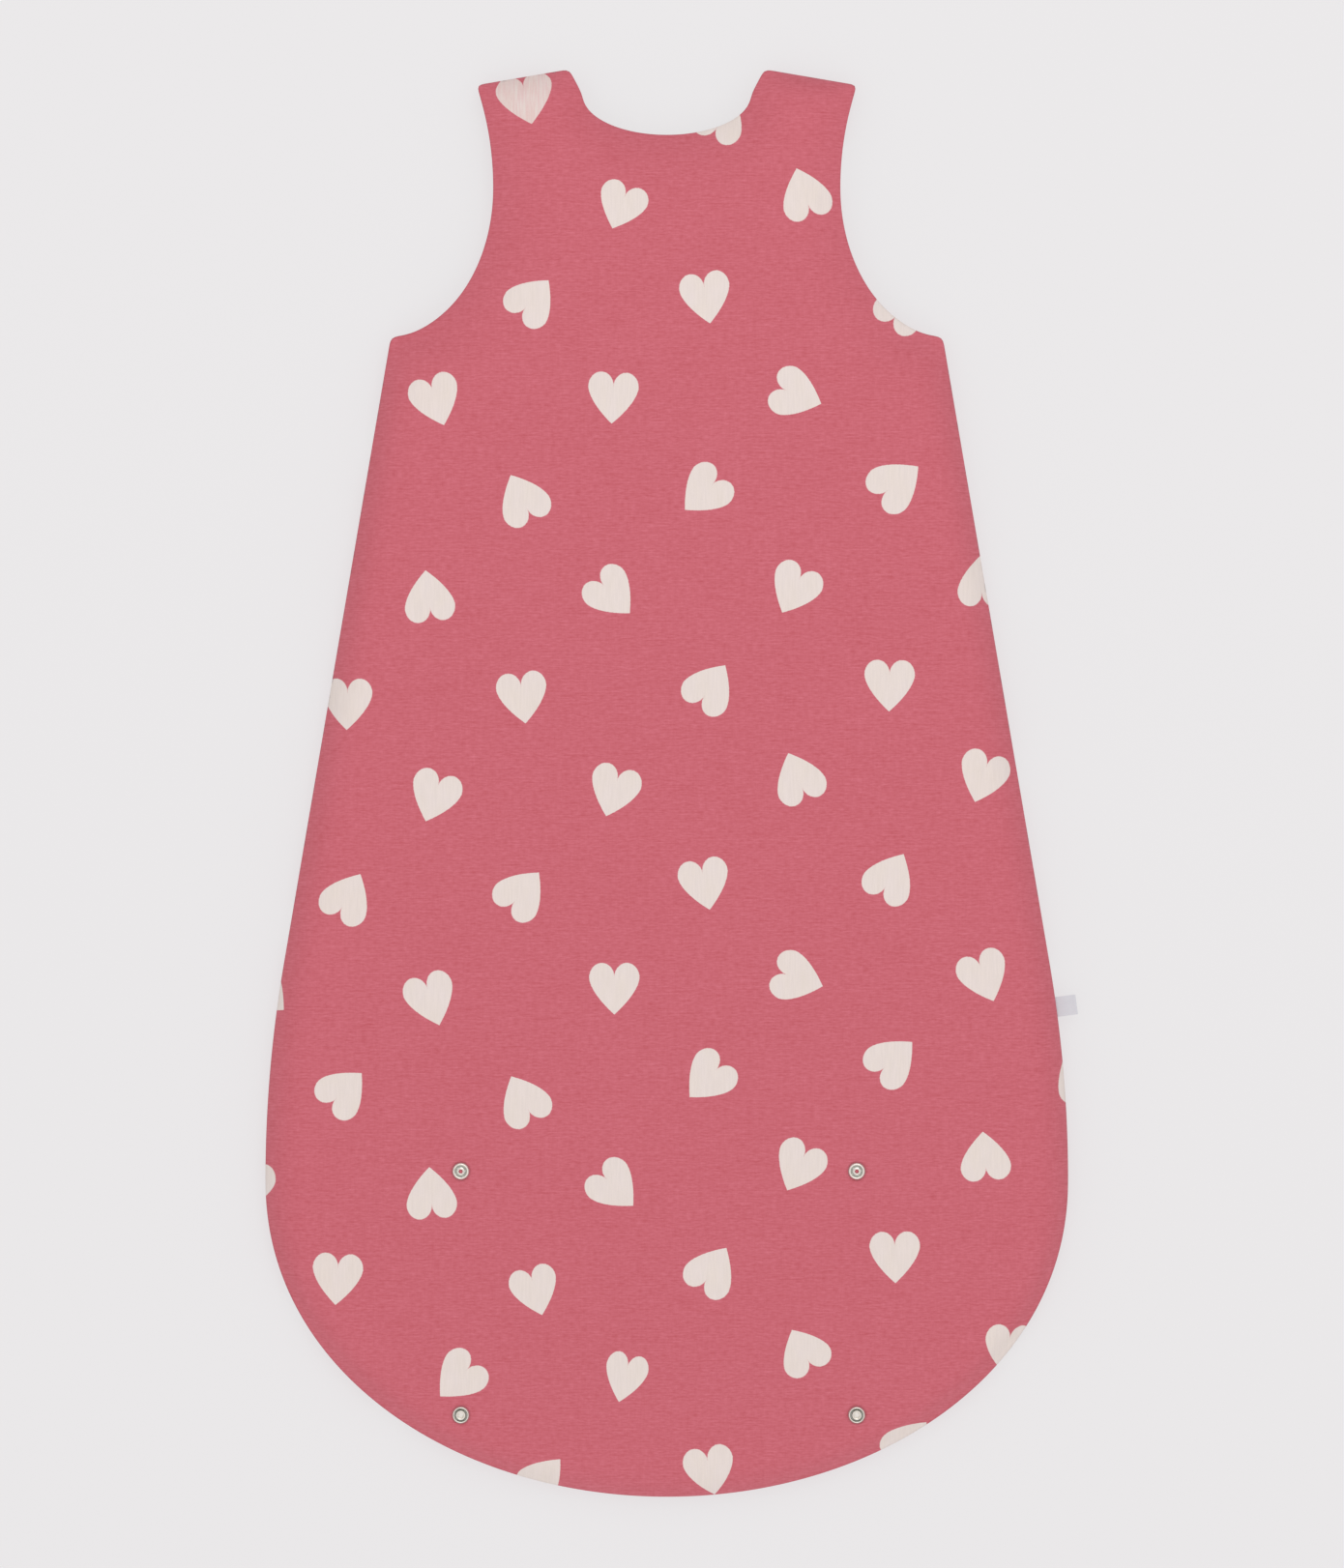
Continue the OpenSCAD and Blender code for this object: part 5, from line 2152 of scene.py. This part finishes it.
    def build(self) -> None:
        """Build every piece of the zip that replaces a plain solid."""
        self.teeth()
        self.stops()
        self.body()
        self.pull()
        self.topstitching()


# Labels

@dataclass(frozen=True)
class SeamLabel:
    """A ribbon held in a side seam."""

    cut: Cut
    material: Material
    slot: Slot
    y: float
    width: float
    out: float
    inside: float
    thick: float
    side: int = 1
    sheet: float = 0.34
    turn_in: float = 1.4
    waviness: float = 0.05
    lift: float = 0.1

    def place(self, across: Array, along: Array, up: Array) -> Array:
        """Carry points from the seam's own axes to the bag's.

        Args:
            across: distances out of the seam.
            along: distances along the seam.
            up: heights above the seam.

        Returns:
            Points of the bag.
        """
        near = self.cut.side_curve(np.array([self.y - 1, self.y + 1]))
        turn = math.atan((near[0] - near[1]) / 2)
        x = float(self.cut.side_curve(np.array(self.y)))
        px = x + across * math.cos(turn) - along * math.sin(turn)
        py = self.y + across * math.sin(turn) + along * math.cos(turn)
        return np.column_stack([self.side * px, py, self.cut.seam + up])

    def folded(self, name: str, node: str) -> Piece:
        """Build a ribbon that is folded double, with its fold outside.

        Args:
            name: name of the piece.
            node: node that it stands for.

        Returns:
            The piece.
        """
        gap = (self.thick - self.sheet) / 2
        end = self.out - self.turn_in
        line = [(-self.inside, gap)]
        line += [(t, gap + self.waviness * math.sin(t * 0.5)) for t in np.linspace(-3, end, 9)]
        line += [(self.out - 0.6 + 0.42 * math.cos(a), gap * math.sin(a) * 1.15)
                 for a in np.radians(np.linspace(70, -70, 7))]
        line += [(t, self.waviness * math.sin(t * 0.4) - gap) for t in np.linspace(end, -3, 9)]
        line += [(-self.inside, -gap)]
        path = np.array(line)
        tangent = np.gradient(path, axis=0)
        tangent /= np.hypot(*tangent.T)[:, None]
        aside = np.stack([-tangent[:, 1], tangent[:, 0]], 1) * self.sheet / 2
        ring = np.concatenate([path + aside, (path - aside)[::-1]])
        columns = np.linspace(-self.width / 2, self.width / 2, 12)
        verts = []
        for k, t in enumerate(columns):
            lift = np.maximum(ring[:, 0], 0) / self.out * self.lift * math.sin(k * 1.3)
            verts.append(self.place(ring[:, 0], np.full(len(ring), t), ring[:, 1] + lift))
        count = len(ring)
        faces = grid_faces(len(columns), count)
        for base in (0, (len(columns) - 1) * count):
            for j in range(len(path) - 1):
                faces.append((base + j, base + j + 1, base + count - 2 - j, base + count - 1 - j))
        obj = make_object(name, np.concatenate(verts), faces, [self.material], sharp=60)
        return place_piece(obj, Body.BAG, self.slot, node)

    def single(self, name: str, node: str) -> Piece:
        """Build a flat ribbon that lies inside the bag.

        Args:
            name: name of the piece.
            node: node that it stands for.

        Returns:
            The piece.
        """
        across = np.linspace(-self.inside, 0, 16)
        along = np.linspace(-self.width / 2, self.width / 2, 18)
        a, b = (v.ravel() for v in np.meshgrid(across, along, indexing="ij"))
        wave = 0.25 * np.sin(b * 0.21) * (-a / self.inside)
        half = self.sheet / 2
        rows, cols, total = len(across), len(along), len(a)
        faces: list[Face] = []
        for q in grid_faces(rows, cols, loop_columns=False):
            faces += [q, tuple(total + v for v in reversed(q))]
        rim = ([*range(cols)] + [i * cols + cols - 1 for i in range(1, rows)]
               + [(rows - 1) * cols + j for j in range(cols - 2, -1, -1)]
               + [i * cols for i in range(rows - 2, 0, -1)])
        for v, n in zip(rim, rim[1:] + rim[:1]):
            faces.append((n, v, total + v, total + n))
        verts = [self.place(a, b, wave + half), self.place(a, b, wave - half)]
        obj = make_object(name, np.concatenate(verts), faces, [self.material], sharp=60)
        return place_piece(obj, Body.BAG, self.slot, node)


# The whole bag

@dataclass
class SleepingBag:
    """The bag with all its pieces."""

    cut: Cut = field(default_factory=Cut)
    y_studs: float = -243.8
    y_sockets: float = -396.9

    def dress_frame(self, finishes: Finishes) -> None:
        """Give the pieces that are kept as they are their materials.

        Args:
            finishes: the materials.
        """
        kept = {
            finishes.tape: ("left_zip_tape", "right_zip_tape", "zip_end_tapes"),
            finishes.snap_metal: ("stud_prong_rings", "socket_prong_rings"),
        }
        for material, nodes in kept.items():
            for node in nodes:
                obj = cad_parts[node]
                obj.data.materials.clear()
                obj.data.materials.append(material)
                log.info("%s: dressed", node)

    def build(self) -> None:
        """Build and dress every piece."""
        finishes = Finishes.make()
        self.dress_frame(finishes)
        studs = StudPair(self.cut, finishes, self.y_studs)
        sockets = SocketPair(self.cut, finishes, self.y_sockets)
        spots = [(s[0], s[1]) for s in studs.seats() + sockets.seats()]
        shell = Shell(self.cut, finishes, spots)
        shell.back()
        shell.front()
        studs.make()
        sockets.make()
        Zip(self.cut, finishes).build()
        side = SeamLabel(self.cut, finishes.side_label, Slot.SIDE_LABEL, -141.3, 12.5, 13, 6, 0.9)
        ribbon = side.folded("side_seam_label", "side_label")
        care = SeamLabel(self.cut, finishes.care_label, Slot.CARE_LABEL, -40, 36, 0, 30, 0.4,
                         side=-1, sheet=0.24)
        tag = care.single("care_seam_label", "care_label")


# Studio

@dataclass(frozen=True)
class Studio:
    """Floor, light and camera."""

    background: Colour = (0.823, 0.807, 0.815)
    distance: float = 4.0
    frame_height: float = 0.98903
    middle: Span = (0.0033, -0.0006)
    seam_height: float = 0.009
    sensor: float = 36.0
    sight: float = 50.0
    floor_half: float = 6.0
    floor_drop: float = 0.0006
    shadow: float = 0.2
    horizon_level: float = 0.75
    zenith_level: float = 0.953
    ground_level: float = 0.72
    lean: float = -0.2
    fade: Span = (0.0, 0.75)
    lamp_power: float = 8.0
    lamp_size: float = 1.6
    lamp_place: Place = (0.32, 1.25, 2.0)

    @staticmethod
    def sees_background(graph: Graph) -> Signal:
        """Tell which rays see the background: the camera's, and those off metal and glass.

        Args:
            graph: nodes of the floor or the world.

        Returns:
            1 for those rays and 0 for the light's own.
        """
        seen = graph.node("ShaderNodeLightPath", output="Is Camera Ray")
        outputs = seen.socket.node.outputs
        for kind in ("Is Glossy Ray", "Is Transmission Ray"):
            seen = graph.math("MAXIMUM", seen, Signal(graph, outputs[kind]))
        return seen

    def floor(self) -> None:
        """Lay the floor: pale, with the bag's soft shadow, and clear from below.

        Light passes it, so that the front is lit in views from under the floor too.
        """
        graph = Graph("floor")
        colour = (*self.background, 1.0)
        plain = graph.node("ShaderNodeBsdfDiffuse", {}, {"Color": colour})
        glow = graph.node("ShaderNodeEmission", {}, {"Color": colour, "Strength": 1.0})
        lit = graph.node("ShaderNodeMixShader", {}, {0: 1.0 - self.shadow, 1: plain, 2: glow})
        clear = graph.node("ShaderNodeBsdfTransparent")
        top = graph.node("ShaderNodeMixShader", {},
                         {0: self.sees_background(graph), 1: clear, 2: lit})
        under = graph.node("ShaderNodeNewGeometry", output="Backfacing")
        both = graph.node("ShaderNodeMixShader", {}, {0: under, 1: top, 2: clear})
        graph.node("ShaderNodeOutputMaterial", {}, {"Surface": both})
        mesh = bpy.data.meshes.new("floor")
        size = self.floor_half
        mesh.from_pydata([(-size, -size, 0), (size, -size, 0), (size, size, 0),
                          (-size, size, 0)], [], [(0, 1, 2, 3)])
        mesh.materials.append(graph.owner)
        obj = linked("floor", mesh)
        obj.location.z = -self.floor_drop

    def room(self) -> None:
        """Light the room evenly: a little darker at the horizon and towards the head."""
        graph = Graph("room", world=True)
        _, ahead, up = graph.split(graph.node("ShaderNodeTexCoord", output="Generated"))
        sky = graph.ramp(up, *self.fade, self.horizon_level, self.zenith_level)
        level = self.ground_level + (sky - self.ground_level) * (up > 0.0)
        light = graph.node("ShaderNodeBackground", {}, {
            "Color": (1.0, 1.0, 1.0, 1.0), "Strength": level * (1.0 + ahead * self.lean)})
        back = graph.node("ShaderNodeBackground", {}, {
            "Color": (*self.background, 1.0), "Strength": 1.0})
        both = graph.node("ShaderNodeMixShader", {},
                          {0: self.sees_background(graph), 1: light, 2: back})
        graph.node("ShaderNodeOutputWorld", {}, {"Surface": both})
        bpy.context.scene.world = graph.owner

    def lamp(self) -> None:
        """Hang one soft lamp over the bag."""
        lamp = bpy.data.lights.new("soft_lamp", "AREA")
        lamp.shape = "DISK"
        lamp.size = self.lamp_size
        lamp.energy = self.lamp_power
        obj = linked("soft_lamp", lamp)
        obj.location = self.lamp_place
        obj.rotation_euler = (-obj.location).to_track_quat("-Z", "Y").to_euler()

    def camera(self) -> None:
        """Look straight down at the bag."""
        data = bpy.data.cameras.new("camera")
        data.sensor_width = self.sensor
        data.lens = self.sensor * self.distance / self.frame_height
        data.clip_end = self.sight
        obj = linked("camera", data)
        obj.location = (*self.middle, self.distance + self.seam_height)
        bpy.context.scene.camera = obj

    def build(self) -> None:
        """Build the whole studio."""
        self.floor()
        self.room()
        self.lamp()
        self.camera()
        bpy.context.scene.view_settings.view_transform = "Standard"


def main() -> None:
    """Build the bag and its studio."""
    logging.basicConfig(level=logging.INFO, format="%(name)s: %(message)s")
    SleepingBag().build()
    Studio().build()


if __name__ == "__main__":
    main()
